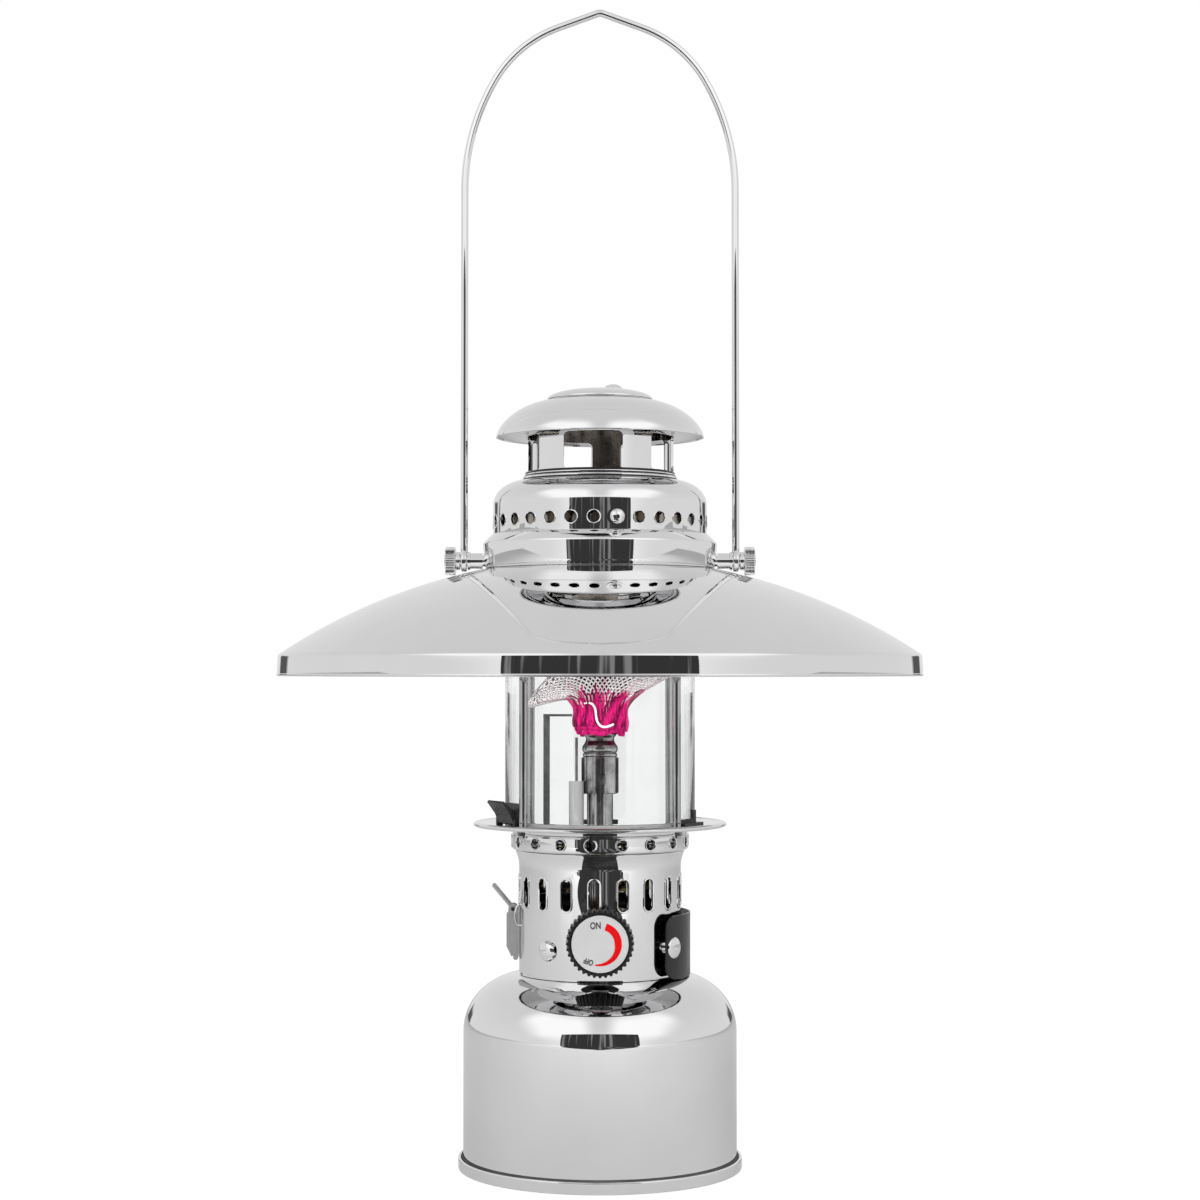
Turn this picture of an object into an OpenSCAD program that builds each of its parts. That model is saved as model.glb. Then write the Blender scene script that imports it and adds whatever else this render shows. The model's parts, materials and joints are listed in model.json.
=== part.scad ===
// Gas lantern with a wide top shade, a wire bail and a cartridge base.
// Millimetres, +Z up, knob towards -Y, origin at the centre of the base's underside.

/* [Base] */
// Outer radius of the base wall
base_r = 55; // [50:0.5:62]
// Height of the base's top face above the floor
base_h = 77.6; // [76:0.2:88]
// Radial width of the rounded base shoulder
shoulder_w = 24.5; // [20:0.5:26]
// Height of the rounded base shoulder
shoulder_h = 22.6; // [16:0.2:26]
// Sheet thickness of the base shell
base_wall = 1; // [0.8:0.1:1.6]
// How far the bottom cover's rim stands out from the base wall
rim_out = 2; // [1:0.2:4]
// Height of the bottom cover's rim
rim_h = 4.8; // [3.6:0.2:8]
// Thickness of the bottom cover's plate
floor_t = 2; // [1.2:0.2:3]

/* [Cartridge] */
// Radius of the gas cartridge
cart_r = 45; // [40:0.5:46]
// Length of the valve nipple on the cartridge
nipple_h = 4; // [3:0.2:6]
// Radius of the valve nipple on the cartridge
nipple_r = 5.5; // [4.5:0.1:8]
// Thickness of the sealing washer
seal_t = 1; // [0.6:0.1:2]
// Radius of the piercing needle
needle_r = 1.1; // [0.8:0.1:1.5]
// Wall of the cartridge
cart_wall = 1.2; // [0.8:0.1:1.6]

/* [Valve] */
// Radius of the valve body
valve_r = 11; // [9:0.5:12]
// Height of the valve body above the base's top face
valve_h = 25.4; // [24:0.2:30]
// Radius of the flange under the valve body
valve_flange_r = 17; // [14:0.5:20]
// Thickness of the flange under the valve body
valve_flange_t = 3; // [2:0.2:4]
// Depth of the spigot below the base's top face
spigot_h = 2.6; // [2:0.2:4]
// Radius of the spigot below the base's top face
spigot_r = 11.9; // [9:0.1:14]
// Radius of the valve spindle
spindle_r = 3; // [2:0.1:3.6]
// Height of the spindle above the base's top face
spindle_up = 16.8; // [16:0.2:18]
// Outer radius of the threaded sleeve round the spindle
sleeve_r = 5; // [4.4:0.1:5.6]
// Radius of the boss that carries the sleeve
boss_r = 7; // [6:0.2:8]
// Length of the gland nut
gland_t = 3.4; // [2.4:0.2:4.4]

/* [Knob] */
// Outer radius of the control knob
knob_r = 13.2; // [12.8:0.2:16]
// Length of the control knob
knob_t = 11.7; // [9:0.1:16]
// Number of grip ridges on the knob
knob_ridges = 36; // [24:2:60]
// Radius of the printed dial
dial_r = 11; // [9:0.1:11.4]
// Thickness of the printed dial
dial_t = 0.8; // [0.5:0.1:1.2]
// Width of the flow mark at its thick end
mark_w = 2.8; // [1.5:0.1:4]
// Distance from the dial's edge in to the flow mark
mark_in = 2.6; // [1:0.1:3]
// Where the flow mark's thick end lies, as a turn from the dial's right
mark_start = 70; // [60:1:100]
// Sweep of the flow mark
mark_sweep = 175; // [150:5:270]

/* [Neck] */
// Outer radius of the neck
neck_r = 32.6; // [31:0.2:36]
// Height of the neck
neck_h = 50; // [46:0.5:60]
// How far the neck flares out under the collar
neck_flare = 1.6; // [0.4:0.2:2]
// Height of the flare under the collar
neck_flare_h = 7; // [4:0.5:9]
// Sheet thickness of the neck and collar
neck_wall = 1; // [0.8:0.1:1.4]
// Number of draught slots round the neck
slot_count = 18; // [12:2:20]
// Width of a draught slot
slot_w = 4.2; // [3:0.1:5]
// Height of a draught slot
slot_h = 12.6; // [8:0.2:14]
// Distance from the neck's top down to the middle of the slots
slot_drop = 16.4; // [12:0.2:17]
// Turn of the slots from the front
slot_turn = -4; // [-10:1:10]
// Height of the ring inside the neck's foot
foot_ring_h = 16; // [14:0.5:17]
// Radial thickness of the ring inside the neck's foot
foot_ring_t = 3.8; // [3:0.1:4]
// Head radius of a neck screw
screw_head_r = 4.2; // [3:0.1:5]
// Shank radius of a neck screw
screw_r = 1.5; // [1:0.1:2]
// Height of the neck screws above the neck's foot
screw_up = 11.5; // [8:0.5:12]

/* [Label plate] */
// Height of the label plate
label_h = 25; // [16:0.5:26]
// Sweep of the label plate round the neck
label_sweep = 80; // [50:2:90]
// Gap between the label plate and the neck
label_gap = 3; // [2:0.2:5]
// Thickness of the label plate
label_t = 0.8; // [0.5:0.1:1.2]
// Height of the label screws above the neck's foot
label_up = 12.4; // [12.4:0.1:14]

/* [Neck latch] */
// Width of the latch bracket
latch_w = 8; // [7:0.5:10]
// Height of the latch pin above the neck's foot
latch_up = 26; // [24:0.5:27]
// Reach of the latch pin outside the neck
latch_out = 2.4; // [2.2:0.1:3]
// Radius of the latch wire
latch_wire_r = 0.8; // [0.6:0.1:1]
// Length of the latch lever
latch_len = 12; // [8:0.5:16]
// Height of the latch bracket's cover plate
latch_cover_h = 17; // [12:0.5:19]

/* [Igniter] */
// Radius of the igniter body
piezo_r = 5; // [4.4:0.1:5.2]
// Height of the igniter above the neck's foot
piezo_up = 22.4; // [21.5:0.1:22.6]
// Radius of the igniter button's stem
button_r = 3.6; // [3:0.1:3.8]
// Travel of the igniter button
button_travel = 4; // [2:0.5:5]
// Radius of the electrode's ceramic tube
ceramic_r = 3; // [2:0.1:3.4]
// Height of the ceramic tube above the gallery
ceramic_h = 18.7; // [12:0.1:22]
// Radius of the spark electrode's wire
spark_r = 0.6; // [0.4:0.1:0.8]
// Distance of the ceramic tube from the burner's axis
ceramic_x = 9.5; // [9.4:0.1:12]
// Width of the ground electrode's strip
ground_w = 2.6; // [2:0.1:4]
// Height of the ground electrode above the gallery
ground_h = 44; // [40:0.2:44.4]
// Distance of the ground electrode from the burner's axis
ground_x = 21.5; // [20:0.5:26]
// Radius of the ignition lead
lead_r = 1; // [0.8:0.1:1.2]

/* [Gallery] */
// Outer radius of the pierced collar under the gallery
collar_r = 35.6; // [35:0.2:38]
// Height of the pierced collar
collar_h = 7; // [6:0.2:10]
// Radius of a hole in the collar
collar_hole_r = 2.2; // [1.4:0.1:2.4]
// Turn of the collar holes from the front
collar_turn = -6; // [-10:1:10]
// Outer radius of the gallery plate
gallery_r = 51; // [49:0.2:56]
// Thickness of the gallery plate
gallery_t = 1.2; // [1:0.1:2]
// Radius of the rolled edge of the gallery plate
gallery_bead_r = 1.3; // [1:0.1:1.6]
// Height of the step under the gallery plate
gallery_step_h = 2.5; // [2.4:0.1:4]
// Radius of a support rod
rod_r = 1.7; // [1.2:0.1:1.7]
// Distance of the support rods from the axis
rod_pcd_r = 42.5; // [42.5:0.1:43]
// Width of a glass clip
clip_w = 13; // [8:0.5:13]
// Height of a glass clip
clip_h = 5.7; // [4:0.1:8]
// Thickness of a glass clip
clip_t = 1.2; // [1:0.1:2]

/* [Glass] */
// Outer radius of the glass
glass_r = 38.3; // [37.6:0.1:38.4]
// Wall of the glass
glass_wall = 2.5; // [1.5:0.1:3]
// Height of the glass
glass_h = 98.4; // [90:0.2:120]
// Thickness of the gasket under the glass
gasket_t = 0.8; // [0.5:0.1:1.2]

/* [Burner] */
// Outer radius of the mixing tube
tube_r = 5.25; // [5.1:0.05:5.6]
// Wall of the mixing tube
tube_wall = 0.8; // [0.6:0.1:0.9]
// Height of the mixing tube above the gallery
tube_up = 21; // [16:0.5:22]
// Outer radius of the burner sleeve
burner_r = 6.9; // [6.6:0.1:7.4]
// Height of the burner sleeve
burner_h = 14; // [13:0.5:18]
// How far the sleeve laps over the mixing tube
burner_lap = 7; // [4:0.5:8]
// Height of the burner head
head_h = 11; // [9:0.2:14]
// Radius of the burner head's waist
waist_r = 5.7; // [5:0.1:6.2]

/* [Mantle] */
// Radius of the gathered collar of the mantle
mantle_collar_r = 9.6; // [8.4:0.1:10]
// Height of the gathered collar of the mantle
mantle_collar_h = 12; // [10:0.5:14]
// Largest radius of the mantle
mantle_r = 31.5; // [24:0.5:32]
// Height of the flared part of the mantle
mantle_flare_h = 15; // [10:0.5:18]
// Height of the rounded top of the mantle
mantle_top_h = 10; // [6:0.5:14]
// Number of gathers round the mantle
mantle_gathers = 12; // [8:1:13]
// Thickness of the knitted wall
mantle_t = 0.8; // [0.6:0.1:1]

/* [Shade] */
// Outer radius of the shade's rim
shade_r = 130; // [110:1:150]
// Radius of the spherical dome of the shade
shade_dome_r = 232; // [210:1:300]
// Height of the band at the shade's rim
band_h = 9; // [5:0.5:14]
// How far the band flares out
band_flare = 0.6; // [0.4:0.1:3]
// Sheet thickness of the shade
shade_wall = 1; // [0.7:0.1:1.4]
// Outer radius of the flat seat in the shade's middle
seat_r = 45; // [44.8:0.1:45.2]
// Thickness of the ring that the rods carry
ring_t = 2; // [1.6:0.1:4]

/* [Hood] */
// Radius of the lower hood ring where it is widest
hood_r = 47.4; // [47:0.2:49]
// Height of the lower hood ring
hood_h = 13.6; // [13:0.2:18]
// Sheet thickness of the hood
hood_wall = 1; // [0.8:0.1:1.2]
// Radius of the pierced upper hood
vent_r = 43.3; // [42:0.1:43.6]
// Height of the upper hood
vent_h = 21.8; // [20:0.2:30]
// Height of the upper hood's rounded shoulder
vent_round = 10; // [6:0.5:12]
// Radial width of the upper hood's rounded shoulder
vent_round_w = 12.5; // [8:0.5:13]
// Number of vent holes round the upper hood
vent_count = 30; // [18:6:30]
// Radius of a vent hole
vent_hole_r = 2.5; // [1.5:0.1:2.8]
// Height of the vent holes above the upper hood's foot
vent_up = 5; // [4.2:0.1:7]
// Turn of the vent holes from the front
vent_turn = 8.8; // [0:0.2:12]
// Radius of the inner heat shield
shield_r = 38.5; // [38.2:0.1:40]
// Height of the inner heat shield
shield_h = 16; // [12:0.5:16]

/* [Chimney and cap] */
// Outer radius of the chimney ring
chimney_r = 29.8; // [27:0.2:31]
// Height of the chimney ring
chimney_h = 28.6; // [26:0.2:36]
// Number of windows in the chimney ring
window_count = 5; // [3:1:6]
// Width of a window
window_w = 23.5; // [12:0.5:24]
// Height of a window
window_h = 15; // [10:0.5:18]
// Height of the windows' sills above the chimney's foot
window_up = 3; // [2:0.2:6]
// Turn of the first window from the front
window_turn = -5.6; // [-20:0.2:20]
// Radius of the cap's brim
cap_r = 42.1; // [38:0.1:48]
// Height of the cap's dome
cap_h = 15.6; // [12:0.2:20]
// Distance from the chimney's top up to the inside of the cap
cap_lift = 3.6; // [2:0.2:8]
// Radius of the cap's top disc
cap_disc_r = 21.5; // [16:0.5:26]
// Height of the cap's top disc
cap_disc_h = 4.4; // [3:0.1:6]
// Offset of the rivet from the axis
rivet_x = 5.3; // [0:0.1:8]
// Head radius of the rivet
rivet_head_r = 3.9; // [2.5:0.1:5]

/* [Bail] */
// Radius of the bail wire
bail_wire_r = 1.5; // [1.2:0.1:2]
// Half the distance between the bail's legs
bail_x = 55; // [55:0.1:60]
// Height of the bail's peak above its pivot
bail_h = 225.2; // [180:0.2:300]
// Radius of the bail's side bends
side_bend_r = 90; // [70:1:110]
// Sweep of the bail's side bends
side_bend = 30; // [20:1:40]
// Slope of the peak's two sides
peak_slope = 20; // [10:1:30]
// Half the width of the peak
peak_w = 17; // [10:0.5:24]
// Height of the bail's pivot above the hood's foot
pivot_up = 3; // [3:0.1:4.4]
// Radius of the bail's stud
stud_r = 2.3; // [1.6:0.1:2.6]
// Radius of the bail's flattened eye
eye_r = 4.4; // [4:0.1:4.6]
// Thickness of the bail's flattened eye
eye_t = 2.4; // [1.6:0.1:3]
// Radius of a thumb nut
nut_r = 5.7; // [5:0.1:5.7]
// Thickness of a thumb nut's knurled head
nut_t = 4.2; // [3:0.2:6]
// Number of ridges on a thumb nut
nut_ridges = 36; // [20:2:48]

/* [Hidden] */

// Facets of a drawn circle
$fn = 48;
// Clearance of a turning fit
run_gap = 0.06;
// Clearance of a fixed fit
fit_gap = 0.03;
// Clearance between pieces that pass each other
pass_gap = 0.3;
// Extra length of a cutting tool past the face it cuts
over = 1;

// Heights of the seats, from the floor up
cart_top = base_h - spigot_h - seal_t - nipple_h;
valve_top = base_h + valve_h;
spindle_z = base_h + spindle_up;
neck_top = base_h + neck_h;
slot_z = neck_top - slot_drop;
collar_top = neck_top + collar_h;
gallery_under = collar_top + gallery_step_h;
gallery_top = gallery_under + gallery_t;
glass_foot = gallery_top + gasket_t;
ring_z = glass_foot + glass_h + pass_gap;
shade_seat_z = ring_z + ring_t;
hood_z = shade_seat_z + shade_wall;
vent_z = hood_z + hood_h;
chimney_z = vent_z + vent_h;
chimney_top = chimney_z + chimney_h;
cap_top = chimney_top + cap_lift + hood_wall;
pivot_z = hood_z + pivot_up;

// Rod places: four corners
rod_angles = [45, 135, 225, 315];
// Glass clip places; the first one is the latch
latch_clip_angle = -60;
clip_angles = [60, 180];
// Neck screw and label screw places, as turns from the front
neck_screw_angles = [-39, 170];
label_middle = 86;
label_screw_turn = label_sweep / 2 - 7.5;
label_screw_angles = [label_middle - label_screw_turn, label_middle + label_screw_turn];
// Places along the spindle, as distances in front of the axis
sleeve_end = neck_r + 4.9;
boss_end = neck_r - neck_wall - foot_ring_t - 1.8;
knob_back = sleeve_end + 0.4;
knob_front = knob_back + knob_t;
dial_seat = knob_front - dial_t - 0.2;
spindle_tail = 9;
// Depth of the spindle's seat behind the dial
hub_t = 2;
// Shank radius of the gas jet, and the length of each of its three steps
jet_r = 2;
jet_h = 4;
// Height of the grip ridges
knob_ridge_h = 0.8;
nut_ridge_h = 0.45;
// Heights of the screws' heads
screw_head_h = 2.2;
small_head_h = 1.8;
flat_head_h = 1.2;
// Places along the igniter, as distances behind the axis
piezo_start = valve_r + pass_gap;
piezo_end = neck_r - neck_wall - 0.6;
button_head_t = 2.5;
button_head_in = neck_r + button_travel + 0.4;
ceramic_y = -3;
ceramic_tail = 9;
// Width of the collar's two lips
collar_lip = 4;
// The electrode's reach ends just under the mantle
head_z = gallery_top + tube_up - burner_lap + burner_h;
mantle_foot = head_z + head_h - 3;
flare_z = mantle_foot + mantle_collar_h;
// Pivot of the glass latch
glass_latch_r = glass_r + 3.7;
glass_latch_z = gallery_top + 1.6;
glass_latch_pin_r = 0.7;
// Shank of the cap's rivet
rivet_shank_r = 1.5;
// The bail's upper bend runs on from its side bend into the sloped peak
side_bend_x = bail_x - side_bend_r * (1 - cos(side_bend));
top_bend_r = (side_bend_x - peak_w) / (cos(side_bend) - sin(peak_slope));
peak_rise = peak_w * tan(peak_slope);
top_bend_h = top_bend_r * (cos(peak_slope) - sin(side_bend));
arch_h = side_bend_r * sin(side_bend) + top_bend_h + peak_rise;
arch_z = bail_h - bail_wire_r - arch_h;
// How far the welds on bent wires stand out
weld = 0.04;
// Bail stack outside the hood, along X
stud_in = hood_r - 5;
washer_t = 1;
washer_x = bail_x - eye_t / 2 - pass_gap - washer_t;
nut_x = bail_x + eye_t / 2 + pass_gap;
nut_neck_t = 2;
stud_out = nut_x + nut_neck_t + nut_t + 0.3;
// Ignition lead's route, from the ceramic tube to the igniter
lead_route = [
    [-ceramic_x, ceramic_y, gallery_top - ceramic_tail - 0.1],
    [-ceramic_x, ceramic_y, gallery_top - ceramic_tail - 4],
    [-12, 4, gallery_top - 20],
    [-11, 10, gallery_top - 24],
    [-7, 15, gallery_top - 27],
    [-2, 18, gallery_top - 29],
    [0, 18.5, base_h + piezo_up + piezo_r + 3],
    [0, 18.5, base_h + piezo_up + piezo_r + 0.1]
];

// Points on an elliptical arc
function arc(cx, cy, rx, ry, a0, a1, steps) =
    [for (i = [0:steps]) let (a = a0 + (a1 - a0) * i / steps) [cx + rx * cos(a), cy + ry * sin(a)]];

// Unit vector
function unit(v) = v / norm(v);

// Normal on the left of a line's segment
function side(line, i) = let (d = unit(line[i + 1] - line[i])) [-d[1], d[0]];

// A line's point moved to the left by a thickness
function moved(line, i, t) =
    let (first = side(line, max(i - 1, 0)))
    let (second = side(line, min(i, len(line) - 2)))
    let (middle = unit(first + second))
    line[i] + t * middle / (middle * first);

// Closed outline of a sheet that follows a line, with its thickness on the left
function sheet(line, t) = concat(line, [for (i = [len(line) - 1:-1:0]) moved(line, i, t)]);

// Direction of a route at one of its points
function heading(route, i) =
    unit(route[min(i + 1, len(route) - 1)] - route[max(i - 1, 0)]);

// One ring of points round a route's point
function ring_at(route, i, r, sides, up) =
    let (d = heading(route, i))
    let (u = unit(cross(d, up)))
    let (v = cross(d, u))
    [for (k = [0:sides - 1]) route[i] + r * (u * cos(360 * k / sides) + v * sin(360 * k / sides))];

// Solid of revolution
module spin(outline) {
    rotate_extrude() polygon(outline);
}

// Round tube or washer
module tube(r_out, r_in, h) {
    difference() {
        cylinder(r = r_out, h = h);
        translate([0, 0, -over]) cylinder(r = r_in, h = h + 2 * over);
    }
}

// Turns a shape drawn along +Z so that it points to the front
module to_front() {
    rotate([90, 0, 0]) children();
}

// Places a shape drawn along +Z so that it points outwards at a turn from the front
module outward(turn, z) {
    rotate([0, 0, turn]) translate([0, 0, z]) to_front() children();
}

// Repeats a cut round a wall of a given radius, clear of the wall's far side
module round_about(count, turn, z, wall_r) {
    for (i = [0:count - 1])
        outward(turn + i * 360 / count, z) translate([0, 0, wall_r * 0.8]) children();
}

// Obround outline, upright
module obround(w, h) {
    square([w, h - w], center = true);
    translate([0, (h - w) / 2]) circle(d = w);
    translate([0, (w - h) / 2]) circle(d = w);
}

// Rectangle with round corners
module rounded_plate(w, h, r) {
    square([w - 2 * r, h], center = true);
    square([w, h - 2 * r], center = true);
    for (x = [-1, 1], y = [-1, 1]) translate([x * (w / 2 - r), y * (h / 2 - r)]) circle(r = r);
}

// Outline of a knurled wheel
module knurl(r, ridges, depth) {
    polygon([
        for (i = [0:ridges * 4 - 1])
            let (a = 90 * i / ridges)
            let (d = (i % 4 < 2) ? 0 : depth)
            (r - d) * [cos(a), sin(a)]
    ]);
}

// Round rod between two points
module bar(a, b, r) {
    d = b - a;
    turn = atan2(d[1], d[0]);
    tip = acos(d[2] / norm(d));
    translate(a) rotate([0, tip, turn]) cylinder(r = r, h = norm(d));
}

// Tube swept along a route
module sweep(route, r, sides, up) {
    rings = len(route);
    points = [for (i = [0:rings - 1]) each ring_at(route, i, r, sides, up)];
    walls = [
        for (i = [0:rings - 2], k = [0:sides - 1])
            let (a = i * sides + k)
            let (b = i * sides + (k + 1) % sides)
            each [[a, b, b + sides], [a, b + sides, a + sides]]
    ];
    first_cap = [for (k = [1:sides - 2]) [0, k + 1, k]];
    end = (rings - 1) * sides;
    last_cap = [for (k = [1:sides - 2]) [end, end + k, end + k + 1]];
    polyhedron(points, concat(walls, first_cap, last_cap));
}

// Dome-headed screw along +Z, with its head's back at zero
module dome_screw(head_r, r, head_h, shank) {
    difference() {
        spin(concat([[0, -shank], [r, -shank], [r, 0], [head_r, 0]],
            arc(0, 0, head_r, head_h, 10, 90, 8)));
        translate([0, 0, head_h / 2]) cylinder(r = head_r / 4, h = head_h, $fn = 6);
    }
}

// Base

module bottom_cover() {
    edge = 0.8;
    rim_r = base_r + rim_out;
    inside = base_r + fit_gap * 4;
    color("silver") spin([
        [0, 0], [rim_r - edge, 0], [rim_r, edge], [rim_r, rim_h - edge], [rim_r - edge, rim_h],
        [inside, rim_h], [inside, floor_t], [0, floor_t]
    ]);
}

module base_shell() {
    start = base_h - shoulder_h;
    line = concat(
        [[base_r, floor_t]],
        arc(base_r - shoulder_w, start, shoulder_w, shoulder_h, 0, 90, 24),
        [[spigot_r + fit_gap * 4, base_h]]
    );
    color("silver") spin(sheet(line, base_wall));
}

module gas_cartridge() {
    edge = 3;
    dome_h = 15;
    line = concat(
        [[0, floor_t], [cart_r - edge, floor_t], [cart_r, floor_t + edge]],
        arc(nipple_r + edge, cart_top - dome_h, cart_r - nipple_r - edge, dome_h, 0, 90, 12),
        [[nipple_r, cart_top], [nipple_r, cart_top + nipple_h], [needle_r + 0.1, cart_top + nipple_h]]
    );
    color("royalblue") spin(sheet(line, cart_wall));
}

module cartridge_seal() {
    color("black") translate([0, 0, cart_top + nipple_h])
        tube(nipple_r - 0.5, needle_r + 0.4, seal_t);
}

module piercing_needle() {
    reach = 4;
    color("gold") translate([0, 0, cart_top + 1])
        cylinder(r = needle_r, h = nipple_h + seal_t + reach - 1);
}

// Valve and knob

module valve_body() {
    needle_hole = 4;
    color("goldenrod") difference() {
        union() {
            translate([0, 0, base_h - spigot_h]) cylinder(r = spigot_r, h = spigot_h);
            translate([0, 0, base_h]) cylinder(r = valve_flange_r, h = valve_flange_t);
            translate([0, 0, base_h + 1]) cylinder(r = valve_r, h = valve_h - 1);
            outward(0, spindle_z) cylinder(r = boss_r, h = boss_end);
            outward(0, spindle_z) cylinder(r = sleeve_r, h = sleeve_end);
        }
        outward(0, spindle_z) translate([0, 0, spindle_tail - 1])
            cylinder(r = spindle_r + run_gap, h = sleeve_end);
        translate([0, 0, base_h - spigot_h - over])
            cylinder(r = needle_r + fit_gap, h = needle_hole + over);
        translate([0, 0, valve_top - jet_h]) cylinder(r = jet_r + fit_gap, h = jet_h + over);
    }
}

module valve_spindle() {
    color("goldenrod") outward(0, spindle_z) translate([0, 0, spindle_tail])
        cylinder(r = spindle_r, h = dial_seat - hub_t - spindle_tail);
}

module gland_nut() {
    color("silver") outward(0, spindle_z) translate([0, 0, neck_r + 0.6]) difference() {
        cylinder(r = sleeve_r + 3, h = gland_t, $fn = 6);
        translate([0, 0, -over]) cylinder(r = sleeve_r + fit_gap, h = gland_t + 2 * over);
    }
}

module control_knob() {
    color([0.06, 0.06, 0.06]) outward(0, spindle_z) difference() {
        translate([0, 0, knob_back]) linear_extrude(knob_t) knurl(knob_r, knob_ridges, knob_ridge_h);
        translate([0, 0, dial_seat]) cylinder(r = dial_r + fit_gap, h = knob_t);
        translate([0, 0, knob_back - over])
            cylinder(r = spindle_r + fit_gap, h = dial_seat - hub_t - knob_back + over);
    }
}

module knob_dial() {
    color("gainsboro") outward(0, spindle_z) translate([0, 0, dial_seat])
        cylinder(r = dial_r, h = dial_t);
}

module dial_mark() {
    mark_r = dial_r - mark_in;
    mark_t = 0.2;
    thin = 0.4;
    taper = 1.7;
    steps = 28;
    color("red") outward(0, spindle_z) translate([0, 0, dial_seat + dial_t])
        linear_extrude(mark_t) polygon(concat(
            arc(0, 0, mark_r, mark_r, mark_start, mark_start - mark_sweep, steps),
            [for (i = [steps:-1:0])
                let (a = mark_start - mark_sweep * i / steps)
                let (r = mark_r - thin - (mark_w - thin) * min(1, taper * (1 - i / steps)))
                r * [cos(a), sin(a)]]
        ));
}

module gas_jet() {
    hex_r = 3.6;
    tip_r = 2.4;
    bore_r = 0.5;
    color("goldenrod") difference() {
        union() {
            translate([0, 0, valve_top - jet_h]) cylinder(r = jet_r, h = jet_h);
            translate([0, 0, valve_top]) cylinder(r = hex_r, h = jet_h, $fn = 6);
            translate([0, 0, valve_top + jet_h]) cylinder(r = tip_r, h = jet_h);
        }
        translate([0, 0, valve_top - jet_h - over]) cylinder(r = bore_r, h = 3 * jet_h + 2 * over);
    }
}

// Neck

module foot_ring() {
    r_out = neck_r - neck_wall - pass_gap;
    color("darkgray") difference() {
        translate([0, 0, base_h]) tube(r_out, r_out - foot_ring_t, foot_ring_h);
        outward(0, spindle_z) cylinder(r = sleeve_r + pass_gap * 2, h = neck_r);
        for (a = neck_screw_angles)
            outward(a, base_h + screw_up) cylinder(r = screw_r + fit_gap, h = neck_r);
        for (a = label_screw_angles)
            outward(a, base_h + label_up) cylinder(r = screw_r + fit_gap, h = neck_r);
    }
}

module neck_shell() {
    steps = 8;
    line = [
        [neck_r, base_h + fit_gap],
        for (i = [0:steps])
            let (s = i / steps)
            [neck_r + neck_flare * s * s, neck_top - neck_flare_h * (1 - s)]
    ];
    color("silver") difference() {
        spin(sheet(line, neck_wall));
        translate([0, 0, neck_top]) cylinder(r = collar_r, h = collar_h);
        round_about(slot_count, slot_turn, slot_z, neck_r)
            linear_extrude(neck_r) obround(slot_w, slot_h);
        outward(0, spindle_z) cylinder(r = sleeve_r + 0.15, h = 2 * neck_r);
        outward(180, base_h + piezo_up) cylinder(r = button_r + pass_gap, h = 2 * neck_r);
        for (a = neck_screw_angles)
            outward(a, base_h + screw_up) cylinder(r = screw_r + 0.1, h = 2 * neck_r);
        for (a = label_screw_angles)
            outward(a, base_h + label_up) cylinder(r = screw_r + 0.1, h = 2 * neck_r);
    }
}

module neck_screws() {
    color("silver") for (a = neck_screw_angles)
        outward(a, base_h + screw_up) translate([0, 0, neck_r + fit_gap])
            dome_screw(screw_head_r, screw_r, screw_head_h, neck_wall + foot_ring_t + pass_gap);
}

module label_plate() {
    r_in = neck_r + label_gap;
    color([0.08, 0.08, 0.08]) difference() {
        translate([0, 0, base_h + label_up - label_h / 2])
            rotate([0, 0, label_middle - label_sweep / 2 - 90])
                rotate_extrude(angle = label_sweep) translate([r_in, 0]) square([label_t, label_h]);
        for (a = label_screw_angles)
            outward(a, base_h + label_up) cylinder(r = screw_r + 0.1, h = 2 * neck_r);
    }
}

module label_spacers() {
    color("silver") for (a = label_screw_angles)
        outward(a, base_h + label_up) translate([0, 0, neck_r + fit_gap])
            tube(screw_r + 1.6, screw_r + fit_gap, label_gap - 0.25);
}

module label_screws() {
    color("silver") for (a = label_screw_angles)
        outward(a, base_h + label_up) translate([0, 0, neck_r + label_gap + label_t + fit_gap])
            dome_screw(screw_head_r, screw_r, flat_head_h,
                label_gap + label_t + neck_wall + foot_ring_t);
}

// Wire latch on the left of the neck, drawn pointing to the front and turned to the left

module at_latch() {
    rotate([0, 0, -90]) translate([0, -neck_r - latch_out, base_h + latch_up]) children();
}

module latch_bracket() {
    ear_t = 0.8;
    ear_r = 1.9;
    taper_h = 4;
    barrel_r = 1;
    lap = 0.1;
    drop = latch_cover_h + ear_r;
    front = lap - ear_r - ear_t;
    back = latch_out - pass_gap;
    foot = back - 2 * barrel_r;
    side = [[-ear_r, 0], [-ear_r, taper_h - drop], [foot, -drop], [back, -drop], [back, 0]];
    cover = [
        [front, -ear_r], [front, taper_h - drop], [foot - ear_t, -drop],
        [foot + lap, -drop], [lap - ear_r, taper_h - drop], [lap - ear_r, -ear_r]
    ];
    color("silver") at_latch() difference() {
        union() {
            for (x = [-latch_w / 2, latch_w / 2 - ear_t]) translate([x, 0, 0]) {
                rotate([0, 90, 0]) cylinder(r = ear_r, h = ear_t);
                rotate([90, 0, 90]) linear_extrude(ear_t) polygon(side);
            }
            translate([-latch_w / 2, 0, 0]) rotate([90, 0, 90]) linear_extrude(latch_w) polygon(cover);
            translate([-latch_w / 2, back - barrel_r, -drop - barrel_r / 2]) rotate([0, 90, 0])
                cylinder(r = barrel_r, h = latch_w);
        }
        rotate([0, 90, 0]) cylinder(r = latch_wire_r + fit_gap, h = 2 * latch_w, center = true);
    }
}

module latch_pin() {
    color("silver") at_latch() rotate([0, 90, 0])
        cylinder(r = latch_wire_r, h = latch_w + 1, center = true);
}

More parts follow.
